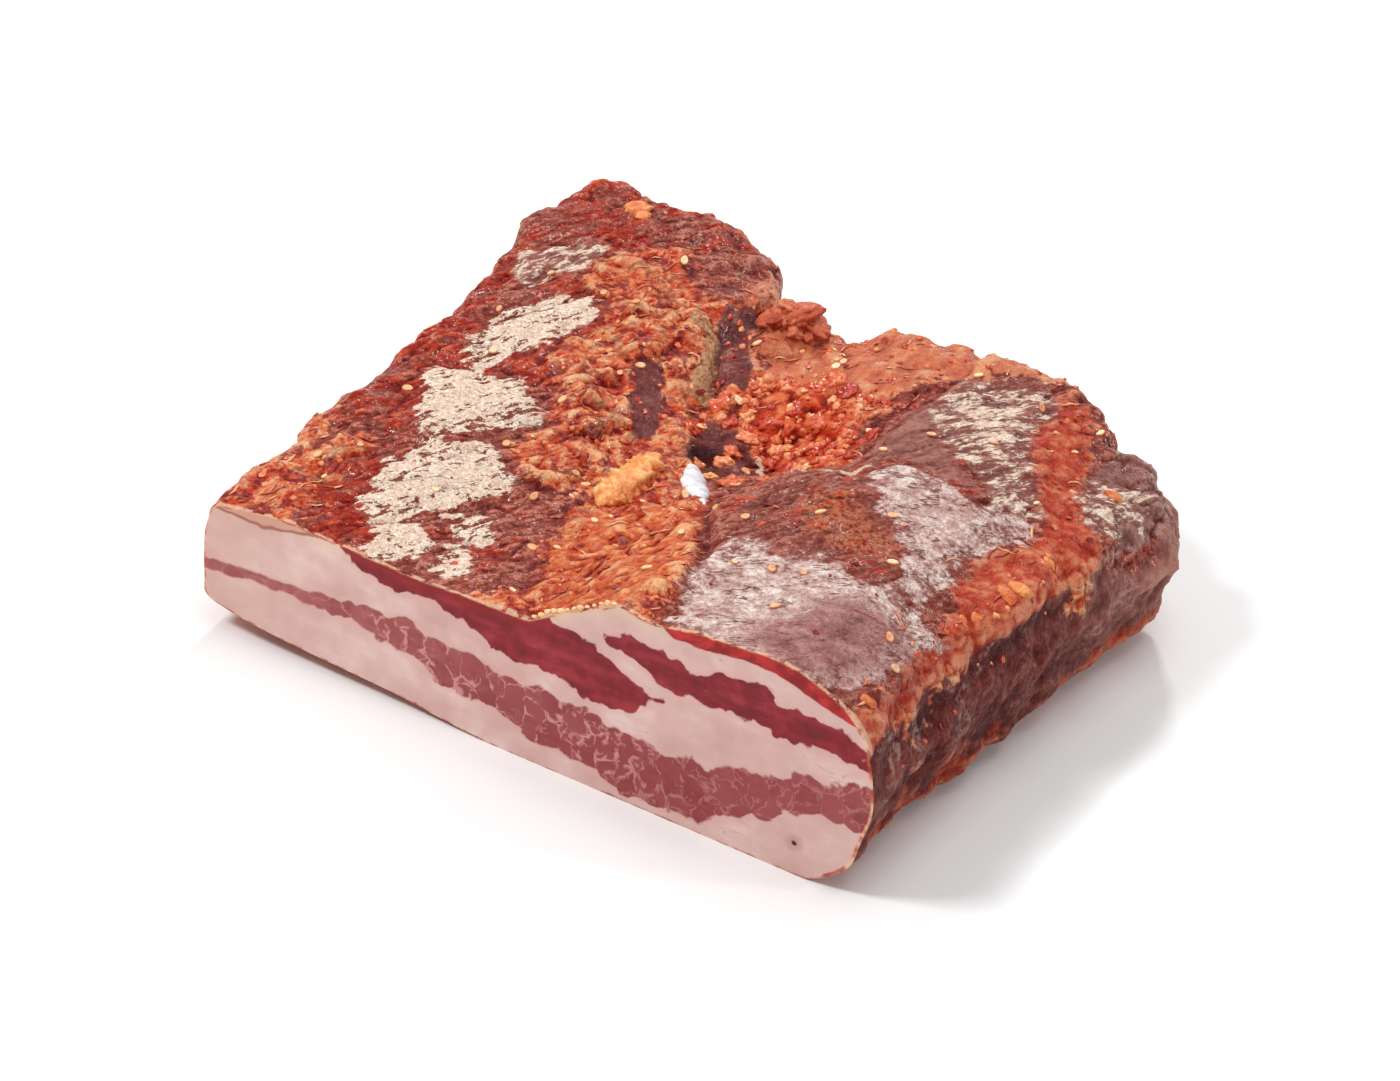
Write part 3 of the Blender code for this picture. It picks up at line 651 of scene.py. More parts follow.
class Shader:
    """Builds a material's nodes.

    A value can be a number, a colour, a socket or a name: one given to name(), or else a field on the mesh.
    """

    def __init__(self, name):
        self.material = bpy.data.materials.new(name)
        self.material.use_nodes = True
        self.tree = self.material.node_tree
        self.tree.nodes.clear()
        self.named = {}
        metres = self.node("TexCoord", {}, "Object")
        self.mm = self.node("VectorMath", {0: metres, "Scale": 1 / MM}, operation="SCALE")
        self.named.update(zip("xyz", self.node("SeparateXYZ", {0: self.mm}).node.outputs))

    def name(self, **sockets):
        self.named.update(sockets)

    def node(self, kind, inputs, output=0, **settings):
        """A new node's output, with the node's settings and what goes into it."""
        made = self.tree.nodes.new("ShaderNode" + kind)
        for key, value in settings.items():
            setattr(made, key, value)
        for key, value in inputs.items():
            if isinstance(value, str):
                if value not in self.named:
                    self.named[value] = self.node("Attribute", {}, "Fac", attribute_name=value)
                value = self.named[value]
            if isinstance(value, bpy.types.NodeSocket):
                self.tree.links.new(value, made.inputs[key])
            else:
                made.inputs[key].default_value = value
        return made.outputs[output] if made.outputs else None

    def drawn_out(self, turn, stretch, at=None):
        """The position in millimetres, turned about Z and then scaled along each axis."""
        turned = self.node("Mapping", {0: at or self.mm, "Rotation": (0, 0, -turn)})
        return self.node("Mapping", {0: turned, "Scale": stretch})

    def warped(self, size, amount, at=None):
        """The position, pushed about by up to amount millimetres."""
        at, reach = at or self.mm, (4 * amount, 4 * amount, 4 * amount)
        wander = self.noise(size, 2.0, 0.5, at, "Color")
        centred = self.node("VectorMath", {0: wander, 1: (0.5, 0.5, 0.5)}, operation="SUBTRACT")
        return self.node("VectorMath", {0: centred, 1: reach, 2: at}, operation="MULTIPLY_ADD")

    def do(self, operation, a, b=0.0, c=0.0):
        return self.node("Math", {0: a, 1: b, 2: c}, operation=operation)

    def sum(self, start=0.0, **weights):
        """A value plus named values, each times its weight."""
        for name, weight in weights.items():
            start = self.do("MULTIPLY_ADD", name, weight, start)
        return start

    def ragged(self, depth, **weights):
        """The same with noises that swing about a half, so that they don't shift the value as a whole."""
        return self.sum(self.do("ADD", depth, -0.5 * sum(weights.values())), **weights)

    def zone(self, depth, low, high, full=1.0, **weights):
        """From 0 to full as a ragged depth goes from low to high."""
        return self.ease(self.ragged(depth, **weights), low, high, 0.0, full)

    def times(self, *values):
        return functools.reduce(lambda a, b: self.do("MULTIPLY", a, b), values)

    def most(self, *values):
        return functools.reduce(lambda a, b: self.do("MAXIMUM", a, b), values)

    def ease(self, value, low, high, first=0.0, last=1.0):
        inputs = {0: value, 1: low, 2: high, 3: first, 4: last}
        return self.node("MapRange", inputs, interpolation_type="SMOOTHSTEP")

    def line(self, value, wide, narrow, middle=0.5, full=1.0):
        """A line where the value is near the middle."""
        return self.ease(self.do("ABSOLUTE", self.do("SUBTRACT", value, middle)), wide, narrow, 0.0, full)

    def noise(self, size, detail=3.0, rough=0.55, at=None, output=0):
        inputs = {"Vector": at or self.mm, "Scale": 1 / size, "Detail": detail, "Roughness": rough}
        return self.node("TexNoise", inputs, output)

    def cells(self, size, at, feature="F1", output="Distance", **more):
        return self.node("TexVoronoi", {"Vector": at, "Scale": 1 / size, **more}, output, feature=feature)

    def cell_shade(self, size, at):
        return self.node("SeparateColor", {0: self.cells(size, at, output="Color")})

    def blend(self, factor, a, b):
        return self.node("Mix", {0: factor, 2: a, 3: b})

    def mix(self, factor, a, b):
        a, b = (rgb(*colour) if isinstance(colour, tuple) else colour for colour in (a, b))
        return self.node("Mix", {0: factor, 6: a, 7: b}, 2, data_type="RGBA")

    def layers(self, colour, *more):
        """A colour with others over it, each given as (how much of it shows, colour)."""
        return functools.reduce(lambda under, layer: self.mix(layer[0], under, layer[1]), more, colour)

    def ramp(self, value, *stops):
        """Colours along a value, from stops of (value, red, green, blue)."""
        made = self.node("ValToRGB", {0: value})
        elements = made.node.color_ramp.elements
        while len(elements) < len(stops):
            elements.new(0.5)
        for element, (position, *colour) in zip(elements, stops):
            element.position, element.color = position, rgb(*colour)
        return made

    def bump(self, height, distance):
        return self.node("Bump", {"Height": height, "Distance": distance * MM, "Strength": 1.0})

    def finish(self, colour, roughness, normal, **more):
        inputs = {"Base Color": colour, "Roughness": roughness, "Normal": normal}
        inputs.update({key.replace("_", " "): value for key, value in more.items()})
        self.node("OutputMaterial", {0: self.node("BsdfPrincipled", inputs)})
        return self.material


def crust_noises(s):
    """Names the noises that the crust's colours are made from, and depth: painted shade, darker in the
    creases.
    """
    streaked, warped = s.drawn_out(STREAK_TURN, (0.28, 1.0, 1.0)), s.warped(5, 1.2)
    s.name(
        big=s.noise(18, 2), mid=s.noise(4.5, 4, 0.6), fine=s.noise(1.5, 4, 0.65), grain=s.noise(0.55, 2),
        streak=s.noise(3.2, 4, 0.65, streaked), hair=s.noise(1.0, 3, 0.6, streaked),
        wide=s.noise(9, 3, 0.6, s.drawn_out(STREAK_TURN, (0.55, 1.0, 1.0), warped)),
        wisp=s.noise(2.6, 4, 0.6, s.drawn_out(WISP_TURN, (0.22, 1.0, 1.0), s.warped(7, 1.5))),
        gap=s.noise(1.5, 3, 0.6, s.drawn_out(STREAK_TURN, (0.32, 1.0, 1.0))),
        crack=s.noise(3.2, 3, 0.6, s.drawn_out(CRACK_TURN, (0.2, 1.0, 1.0))),
        wall=s.noise(6, 4, 0.6, s.drawn_out(math.pi / 2, (0.35, 1.0, 1.0))),
        cloud=s.noise(6, 2, 0.5, s.warped(4, 2.0)), rub=s.noise(26, 4, 0.6, warped),
        speck=s.cells(1.1, warped), seam=s.cells(4.2, warped, "DISTANCE_TO_EDGE"),
        # depth: painted shade, darker in the creases and lighter on the ridges
        clot=s.cell_shade(4.2, warped), depth=s.sum(cavity=0.6, shelter=0.5),
    )


def lean_colour(s):
    """Dried lean in maroon streaks, reddened here and there, with pale specks of salt and painted glints, and
    painted shade in its creases.
    """
    red = s.ramp(
        s.sum(-0.16, hair=0.35, fine=0.45, mid=0.5, depth=0.24), (0.25, 84, 10, 8), (0.45, 146, 30, 16),
        (0.6, 186, 62, 32), (0.75, 222, 116, 72),
    )
    reddened = s.sum(s.ease("x", -40, -70, -0.048, 0.072), big=0.6, streak=1.0)
    return s.layers(
        s.ramp(
            s.sum(-0.828, streak=0.8, hair=0.45, fine=0.85, depth=0.24, grain=0.4), (0.02, 52, 10, 10),
            (0.14, 90, 27, 22), (0.27, 122, 47, 38), (0.42, 148, 68, 54), (0.58, 198, 122, 102),
        ),
        (s.ease("cap", 0.0, 6.0, 0.0, 0.3), (112, 58, 50)),
        (s.ease(reddened, 0.8, 0.89), red),
        (
            s.times(s.zone("tint", -2, 5, 0.8, streak=20), s.ease("fine", 0.4, 0.6)),
            s.mix("fine", (146, 56, 28), (222, 128, 76)),
        ),
        # Pale specks: partly salt, partly painted glints
        (
            s.times(s.ease("speck", 0.3, 0.15), s.ease(s.sum(mid=0.6, streak=0.4), 0.48, 0.58, 0.0, 0.85)),
            (232, 206, 192),
        ),
    )


def paste_colour(s):
    """Chilli paste, with the parts of it that have a colour of their own, the maroon in its dips, and painted
    shade in its creases.
    """
    brown = s.ease(s.sum(big=0.7, streak=0.6, mid=0.4), 0.95, 1.02, 0.0, 0.6)
    hue, tone = s.sum(cloud=0.8, fine=0.2), s.sum(fine=1.0, depth=0.15)
    ochre = s.ramp(tone, (0.32, 170, 88, 50), (0.5, 216, 138, 92), (0.68, 242, 190, 144))
    maroon = s.ramp(tone, (0.3, 82, 14, 22), (0.5, 128, 34, 40), (0.7, 182, 82, 72))
    tan = s.ramp(
        s.sum(-0.1, wisp=0.7, fine=0.3, mid=0.2, depth=0.22), (0.3, 144, 36, 16), (0.43, 200, 82, 40),
        (0.56, 220, 118, 70), (0.7, 246, 182, 128),
    )
    fiery = s.ramp(
        s.sum(mid=0.6, fine=0.4, depth=0.25), (0.25, 110, 12, 6), (0.45, 190, 44, 16), (0.6, 222, 94, 48),
        (0.78, 244, 160, 108),
    )
    ember = s.ramp(
        s.sum(-0.09, streak=0.6, mid=0.3, wide=0.3, depth=0.25), (0.16, 108, 14, 10), (0.34, 154, 36, 22),
        (0.5, 188, 66, 42), (0.68, 228, 136, 98),
    )
    peach = s.ramp(s.sum(mid=0.5, fine=0.5), (0.35, 188, 84, 54), (0.52, 218, 126, 92), (0.7, 232, 166, 132))
    paste = s.layers(
        s.ramp(
            s.sum(-0.805, wide=0.9, clot=0.06, mid=0.4, fine=0.5, depth=0.22, hair=0.6), (0.02, 84, 8, 6),
            (0.14, 140, 24, 12), (0.25, 180, 50, 24), (0.37, 204, 82, 46), (0.5, 222, 118, 76),
            (0.68, 244, 182, 132),
        ),
        # Dark red seams between the clots: partly the paste's red, partly painted shade in the crevices
        (s.ease("seam", 0.1, 0.0, 0.0, 0.35), (122, 22, 14)),
        (brown, s.mix("fine", (96, 40, 32), (158, 92, 68))),
        (s.ease(hue, 0.53, 0.6, 0.0, 0.55), ochre),
        (s.ease(hue, 0.46, 0.41, 0.0, 0.8), maroon),
        (
            s.times(s.zone("tan", -2, 2, mid=10), s.ease("y", 30, 50, 0.75, 0.9)),
            s.mix(s.ease("y", 30, 50, 0.0, 0.45), tan, (206, 128, 100)),
        ),
        (s.zone("hollow", -2, 2, 0.85, mid=8), fiery),
        (s.zone("ember", -2, 2, 0.85, mid=8), ember),
        (s.zone("peach", -1, 1.5, mid=8), peach),
    )
    return paste, maroon


def wall_colour(s, paste, maroon):
    """The sides, dark with red low down and paler at the far right, with painted shade in their creases, and
    the rubbed underside.
    """
    # depth in the tone is painted shade in the creases
    tone = s.sum(wall=0.5, fine=0.3, mid=0.2, depth=0.14)
    dark = s.ramp(tone, (0.26, 62, 16, 16), (0.42, 88, 29, 26), (0.54, 110, 42, 36), (0.68, 154, 80, 68))
    far = s.ramp(tone, (0.3, 112, 58, 50), (0.5, 168, 104, 92), (0.68, 202, 144, 126))
    red = s.ramp(tone, (0.26, 90, 14, 8), (0.42, 142, 38, 20), (0.54, 178, 68, 38), (0.7, 216, 122, 80))
    to_far = s.times(s.ease("y", -25, 70, 0.0, 0.9), s.ease("x", 30, 90, 0.35, 1.0))
    low = s.sum(s.times(to_far, 0.15), share=-2.2, wall=2.4, mid=1.2, big=2.5)
    rubbed, bare_tone = s.sum(rub=0.75, streak=0.25), s.sum(-0.2, mid=0.5, fine=0.3, streak=0.4)
    bare = s.ramp(bare_tone, (0.24, 200, 118, 88), (0.42, 226, 160, 130), (0.6, 240, 198, 172))
    under = s.layers(
        paste, (s.ease(rubbed, 0.47, 0.62, 0.0, 0.75), bare), (s.ease(rubbed, 0.44, 0.36, 0.0, 0.6), maroon)
    )
    frost = s.times(
        s.ease(s.noise(10, 3, 0.6), 0.56, 0.64), s.ease("share", 0.35, 0.6), s.ease("fine", 0.4, 0.55),
        s.ease("x", 0, 50, 0.0, 0.6),
    )
    return s.layers(
        dark, (to_far, far), (s.ease(low, 2.322, 2.872), red),
        (s.zone("share", 0.03, 0.005, mid=0.06), under), (frost, (186, 146, 136)),
    )


def crust_material():
    """The spiced outside: dried lean, chilli paste, pale bloom and bare fat, by the fields on the mesh."""
    s = Shader("spiced_crust")
    crust_noises(s)
    paste, maroon = paste_colour(s)
    paste_mask = s.zone("paste", -0.8, 0.8, **PATCH_EDGE)
    drips = s.zone("share", 0.85, 0.78, big=1.2, mid=0.35, streak=0.25)
    # depth in the tone is painted shade in the creases
    tone = s.sum(0.0075, fine=0.5, mid=0.4, depth=0.15)
    dark = s.ramp(tone, (0.25, 74, 26, 26), (0.42, 106, 46, 43), (0.56, 128, 62, 56), (0.74, 180, 122, 110))
    grey = s.ramp(tone, (0.25, 84, 42, 38), (0.42, 132, 82, 74), (0.56, 168, 118, 108), (0.7, 208, 168, 156))

    # The violet-grey bloom with its frost and cracks, and the smooth patch by the cut
    s.name(violet_edge=s.ragged("violet", mid=9, streak=8))
    dull, violet = s.zone("dull", -1.5, 2.5, **PATCH_EDGE), s.ease("violet_edge", -1.0, 1.5)
    veil = s.ramp(s.sum(fine=0.4, streak=0.6), (0.36, 112, 62, 56), (0.5, 150, 98, 90), (0.64, 184, 136, 126))
    frost_tone = s.sum(mid=0.4, fine=0.4, grain=0.2)
    frost = s.ramp(frost_tone, (0.38, 158, 114, 107), (0.5, 202, 167, 158), (0.6, 244, 228, 220))
    frosted = s.ease(s.sum(grain=0.1, fine=0.35, mid=0.35, big=0.2, violet_edge=0.008), 0.42, 0.55)
    frosted = s.times(violet, frosted)
    cracks = s.times(s.line("crack", 0.03, 0.01, full=0.9), s.ease(s.noise(7, 2), 0.5, 0.56), violet)
    smooth = s.ramp(s.sum(mid=0.5, streak=0.5), (0.38, 112, 44, 46), (0.62, 170, 98, 96))

    # The cream bloom, whole or in flakes, with dark gaps
    s.name(cream_edge=s.ragged("cream", streak=16, mid=7), flaky_edge=s.ragged("flaky", streak=16, mid=8))
    cream = s.ease("cream_edge", -0.2, 0.8)
    flakes = s.ease(s.sum(streak=0.4, mid=0.2, hair=0.4, flaky_edge=0.005), 0.48, 0.55)
    gaps = s.sum(gap=0.6, fine=0.25, grain=0.15, cream_edge=0.006, big=0.15, streak=0.35)
    bloom = s.most(
        s.times(cream, s.ease(gaps, 0.7018, 0.7418)), s.times(s.ease("flaky_edge", -4.5, -2.5), flakes)
    )
    pale_tone = s.sum(fine=0.5, grain=0.5)
    pale = s.ramp(pale_tone, (0.36, 204, 160, 136), (0.5, 234, 206, 184), (0.62, 255, 244, 229))

    # The greenish-tan strip, the fat that shows at the cut's edge, and painted shade in the crevices
    strip = s.ramp("fine", (0.3, 140, 78, 50), (0.5, 188, 138, 98), (0.7, 226, 184, 142))
    by_cut = s.zone("y", 1.5 - BOX_CENTRE[1], 0.9 - BOX_CENTRE[1], 0.85, fine=1.6)
    dashes = s.times(by_cut, s.ease(s.noise(3, 2), 0.44, 0.5), s.ease("side", 0.5, 0.2))
    # Painted shade: dark red in the crevices, where the cavity field is low, weaker on the sides
    crevice_shade = s.ease(s.sum(cavity=0.7, fine=0.6), 0.05, -0.45, 0.0, 0.6)
    colour = s.layers(
        lean_colour(s),
        (paste_mask, paste),
        (s.times(drips, s.ease("side", 0.0, 0.25)), wall_colour(s, paste, maroon)),
        (s.zone("dark", -0.6, 0.6, mid=3, streak=4.5, fine=1.25), dark),
        (s.zone("lobe", -1.0, 1.0, **PATCH_EDGE), grey),
        (s.times(s.most(dull, violet), 0.8), veil),
        (frosted, frost),
        (cracks, (104, 62, 48)),
        (s.zone("smooth", -4.0, 6.0, 0.72, mid=14, streak=14, big=16), smooth),
        (s.ease("flaky_edge", -6.0, -2.0, 0.0, 0.7), veil),
        (s.times(cream, 0.7), s.mix("fine", (84, 38, 32), (176, 96, 66))),
        (bloom, pale),
        (s.zone("pale", -0.4, 0.8, mid=4, fine=2), strip),
        (s.zone("pit", -1.0, 2.0, 0.8, mid=5), (58, 28, 36)),
        (s.zone("line", 0.0, 0.4, mid=3, fine=1), s.mix("fine", (200, 150, 120), (240, 214, 190))),
        (dashes, s.mix("fine", (214, 140, 100), (246, 214, 186))),
        (s.times(crevice_shade, s.ease("side", 0.9, 0.2, 0.3, 1.0)), (92, 20, 14)),
    )

    powdery = s.most(bloom, frosted, dull)
    roughness = s.sum(s.blend(powdery, s.blend(paste_mask, 0.35, 0.29), 0.5), fine=0.3)
    height = s.sum(s.times(bloom, 0.2), mid=0.5, fine=1.1, hair=0.3, grain=0.45)
    wet = s.times(s.ease(powdery, 0.6, 0.0), s.ease(s.sum(mid=0.5, fine=0.5), 0.46, 0.58))
    return s.finish(
        colour, roughness, s.bump(height, 1.0), Specular_IOR_Level=0.08, Coat_Roughness=0.13,
        Coat_Weight=s.times(wet, s.ease("side", 0.2, 0.8, 1.0, 0.5)),
        Coat_Normal=s.bump(s.sum(height, grain=0.8), 1.3),
    )


def cut_material():
    """The cut face: pinkish white fat, wine-red lean and the marbled lower band, with crisp borders."""
    s = Shader("cut_face")
    warped = s.drawn_out(0.0, (1.1, 1.0, 0.85), s.warped(2.6, 0.8, s.warped(9, 1.4)))
    s.name(
        x=s.do("ADD", "x", BOX_CENTRE[0]), big=s.noise(18, 2), mid=s.noise(4, 3, 0.5), fine=s.noise(1.2, 2),
        layered=s.noise(4, 3, 0.5, s.drawn_out(0.0, (0.25, 1.0, 1.2))),
        blob=s.cells(6.6, warped, "SMOOTH_F1", Smoothness=0.2),
        ripple=s.cells(4.6, warped, "SMOOTH_F1", Smoothness=0.6),
    )

    # Fat: creamier under the crust, duller at the thin end (partly a browner colour, partly painted shade),
    # creased at the right, pinker by the lean
    fat_tone = s.sum(big=0.6, mid=0.2, layered=0.2)
    where = s.ease(s.sum(big=0.6, mid=0.4), 0.52, 0.6)
    creased = s.times(s.line("layered", 0.016, 0.0), s.ease("x", 118, 140), where)
    fat = s.layers(
        s.ramp(fat_tone, (0.36, 210, 167, 158), (0.5, 221, 182, 174), (0.64, 234, 204, 196)),
        (s.zone("below_top", 4.5, 0.5, 0.6, mid=3), (222, 196, 166)),
        # Duller at the thin end: partly the fat's browner colour, partly painted shade
        (s.ease("x", 45, 0, 0.0, 0.5), (206, 160, 144)),
        (s.times(creased, 0.5), (168, 112, 104)),
        (s.ease(s.most("lower", "inner", "outer"), -1.8, -0.2, 0.0, 0.4), (222, 168, 160)),
    )

    # The lower band, in blobs with veins of fat between them
    uneven = s.sum(0.89, blob=-4.0, mid=2.0, fine=0.6)
    lower = s.ease(s.do("ADD", "lower", s.times(uneven, s.ease("x", 5, 60, 0.3, 1.0))), -0.4, 0.4)
    width = s.ease(s.sum(mid=0.6, big=0.4), 0.4, 0.6, 0.03, 0.11)
    large = s.times(
        s.ease(s.cells(6.6, warped, "DISTANCE_TO_EDGE"), width, 0.0), s.ease(s.noise(3.5, 2), 0.4, 0.54)
    )
    small = s.times(
        s.ease(s.cells(2.8, warped, "DISTANCE_TO_EDGE"), 0.14, 0.0), s.ease(s.noise(5, 2), 0.54, 0.6),
        s.ease("x", 95, 110, 0.2, 0.7),
    )
    veins = s.times(s.most(large, small), s.ease("x", 25, 60, 0.3, 1.0), s.ease("x", 118, 150, 0.85, 0.4))
    band = s.layers(
        s.mix(s.ease("x", 10, 130), (168, 92, 88), (150, 60, 62)),
        (s.ease(s.sum(mid=0.5, layered=0.5), 0.4, 0.6, 0.0, 0.5), (134, 40, 44)),
        (s.times(s.cell_shade(6.6, warped), 0.35), (176, 94, 92)),
        (veins, (216, 150, 145)),
    )

    # The two wine-red bands and the thin red one on top
    inner, outer = (s.zone(name, 0.12, 0.72, ripple=-3.0, mid=1.2, fine=0.3) for name in ("inner", "outer"))
    flecks = s.ease(s.cells(5.0, s.drawn_out(0.3, (0.5, 1.0, 1.0), warped)), 0.09, 0.05, 0.0, 0.6)
    wine = s.layers(
        s.ramp(s.sum(mid=0.4, layered=0.6), (0.36, 110, 8, 18), (0.5, 134, 16, 30), (0.64, 160, 42, 52)),
        (s.ease("below_top", 5.0, 0.5, 0.0, 0.6), (146, 18, 20)),
        (s.times(flecks, s.ease("mid", 0.48, 0.58)), (204, 132, 124)),
    )
    cap = s.zone("cap", 1.0, 1.4, mid=1.5)

    # The seam under the crust at the thin end, the vein's hole with painted shade in its dark middle, and the
    # crust's rim
    line_depth = s.times(s.do("SINE", s.ease("x", 0, 36, 0.25, 3.14)), 3.4)
    gap = s.do("SUBTRACT", s.ragged("below_top", mid=2.0), line_depth)
    at_left = s.ease("x", 38, 34)
    off = [s.do("POWER", s.do("SUBTRACT", name, at), 2.0) for name, at in zip("xz", VEIN)]
    hole = s.ragged(s.do("SQRT", s.do("ADD", *off)), fine=0.8)
    rim = s.do("SUBTRACT", s.ragged("rim", fine=0.7, mid=1.0), s.ease("x", 182, 188, 0.25, 0.85))
    colour = s.layers(
        fat,
        (lower, band),
        (s.most(inner, outer), wine),
        (cap, s.mix(s.ease("mid", 0.35, 0.65), (140, 6, 12), (196, 40, 36))),
        (s.times(at_left, s.ease(gap, 0.2, -0.6, 0.0, 0.6)), (206, 138, 112)),
        (s.times(at_left, s.line(gap, 0.7, 0.2, 0.0, 0.75)), (146, 62, 52)),
        (s.ease(hole, 3.4, 1.2, 0.0, 0.45), (184, 122, 112)),
        # The hole's dark middle: painted shade inside the vein; the face itself is flat there
        (s.ease(hole, 0.9, 0.5), (74, 28, 28)),
        (
            s.ease(rim, 0.3, -0.2, 0.0, 0.85),
            s.ramp("mid", (0.36, 158, 50, 28), (0.48, 204, 108, 72), (0.6, 236, 190, 154)),
        ),
    )

    lean = s.most(inner, outer, lower, cap)
    height = s.sum(s.ease(hole, 1.0, 0.3, 0.0, -1.0), fine=0.1, mid=0.2, layered=0.3)
    height = s.do("MULTIPLY_ADD", s.do("ADD", lean, creased), -0.3, height)
    return s.finish(
        colour, s.ragged(s.blend(lean, 0.36, 0.34), fine=0.1), s.bump(height, 0.5),
        Subsurface_Weight=s.blend(lean, 0.3, 0.05), Subsurface_Radius=(1.0, 0.5, 0.4),
        Subsurface_Scale=0.0015, Specular_IOR_Level=0.3,
    )


def grit_material(name, stops, roughness=0.38, bumps=0.25, size=1.0, coat=0.0):
    """A small piece's finish: its own shade from the mesh, mottled by noise."""
    s = Shader(name)
    s.name(coarse=s.noise(1.6 * size, 3), fine=s.noise(0.5 * size, 3, 0.6))
    return s.finish(
        s.ramp(s.sum(-0.25, shade=0.7, coarse=0.5, fine=0.3), *stops), s.ragged(roughness, fine=0.3),
        s.bump(s.sum(coarse=1.0, fine=0.6), bumps), Specular_IOR_Level=0.4, Coat_Weight=coat,
        Coat_Roughness=0.12,
    )


class Heap:
    """Many small closed shapes joined into one mesh, each with a shade from 0 to 1."""

    def __init__(self):
        self.points, self.faces, self.shades, self.count = [], [], [], 0

    def add(self, points, faces, shade):
        self.faces += [[corner + self.count for corner in face] for face in faces]
        self.points.append(points)
        self.shades.append(np.full(len(points), shade) if np.isscalar(shade) else shade)
        self.count += len(points)

    def lay(self, shape, spot, turn, lift, shade, tilt=0.0):
        """Adds a shape that lies on the crust at a spot, turned about the normal and lifted along it."""
        (points, faces), (place, normal) = shape, spot
        self.add(points @ lying(normal + tilt, turn) + place + lift * normal, faces, shade)

    def finish(self, name, *stops, slot="fat_upper", smooth=True, **look):
        """Makes the piece. The stops are its colours along the shades."""
        mesh = bpy.data.meshes.new(name)
        mesh.from_pydata((np.concatenate(self.points) * MM).tolist(), [], self.faces)
        mesh.polygons.foreach_set("use_smooth", np.full(len(self.faces), smooth))
        add_attribute(mesh, "shade", np.concatenate(self.shades))
        mesh.materials.append(grit_material(name.rstrip("s"), stops, **look))
        piece = linked(name, mesh)
        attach(piece, "root")


def ball(detail):
    """A unit ball of triangles: (points, faces)."""
    bm = bmesh.new()
    bmesh.ops.create_icosphere(bm, subdivisions=detail, radius=1.0)
    points = np.array([vertex.co[:] for vertex in bm.verts])
    faces = [[vertex.index for vertex in face.verts] for face in bm.faces]
    bm.free()
    return points, faces


class Ground:
    """Finds the crust's surface under a plan position."""

    def __init__(self, points, faces):
        self.tree = BVHTree.FromPolygons((placed(points) / MM).tolist(), faces)

    def at(self, x, y):
        """The point above plan (x, y), in the row frame's millimetres, and its normal, or None."""
        start = Vector((x - BOX_CENTRE[0], y - BOX_CENTRE[1], 200))
        point, normal, _, _ = self.tree.ray_cast(start, Vector((0, 0, -1)))
        return None if point is None else (np.array(point), np.array(normal))


def lying(normal, turn):
    """Axes for a thing that lies on a surface with this normal, turned about it: rows are x, y and z."""
    rotation = Vector(normal).to_track_quat("Z", "Y").to_matrix() @ Matrix.Rotation(turn, 3, "Z")
    return np.array(rotation).T


def lumpy(points, seed, amount, size=1.0):
    """A ball's points pushed in and out by noise."""
    x, y, z = points.T
    return points * (1 + amount * lumps(x + 7.3 * seed * size, y, z, size))[:, None]


def unit(vectors):
    return vectors / np.linalg.norm(vectors, axis=-1, keepdims=True)


def soften(line, rounds):
    """Evens out a line's points, or its normals, between its ends."""
    for _ in range(rounds):
        line[1:-1] = (line[:-2] + 2 * line[1:-1] + line[2:]) / 4


def tube(sides, ups, around):
    """A closed tube about a line, from its half axes there: its points' angles, vectors out and faces."""
    angles = np.arange(around) * 2 * math.pi / around
    out = np.cos(angles)[:, None] * sides[:, None] + np.sin(angles)[:, None] * ups[:, None]
    last = (len(sides) - 1) * around
    faces = [
        [start + k, start + (k + 1) % around, start + around + (k + 1) % around, start + around + k]
        for start in range(0, last, around) for k in range(around)
    ]
    return angles, out, faces + [list(range(around - 1, -1, -1)), list(range(last, last + around))]


def make_seeds(ground, heap, draw):
    """Flattened, dimpled chilli seeds: those of the solids and smaller ones between them."""
    points, faces = ball(3)
    out = np.hypot(points[:, 0], points[:, 1])
    shape = points.copy()
    shape[:, 2] *= 0.35 + 0.65 * ease((out - 0.2) / 0.6)
    shape[:, 0] *= 1 + 0.22 * np.maximum(points[:, 0], 0) ** 2
    dark_rim = 0.32 * ease((out - 0.75) / 0.25)
    spots = [(x, y, turn, 1.0) for x, y, turn in seed_spots()]
    while len(spots) < SEED_COUNT + SMALL_SEEDS:
        x, y = draw.uniform(2, 190), draw.uniform(3, 178)
        if field_at(x, y) > -1 or draw.random() < 0.2:
            spots.append((x, y, draw.uniform(0, math.pi), draw.uniform(0.45, 0.9)))
    for x, y, turn, size in spots:
        tilt = np.array([draw.gauss(0, 0.14), draw.gauss(0, 0.14), 0])
        local = lumpy(shape, x, 0.06) * np.array([1.5, 1.15, 0.6]) * size
        shade = np.clip(draw.gauss(0.6, 0.16) - dark_rim, 0, 1)
        heap.lay((local, faces), ground.at(x, y), turn, 0.2 * size, shade, tilt)
    heap.finish(
        "chilli_seeds", (0.1, 156, 74, 42), (0.32, 212, 132, 84), (0.52, 234, 176, 124),
        (0.8, 248, 218, 172), bumps=0.12,
    )


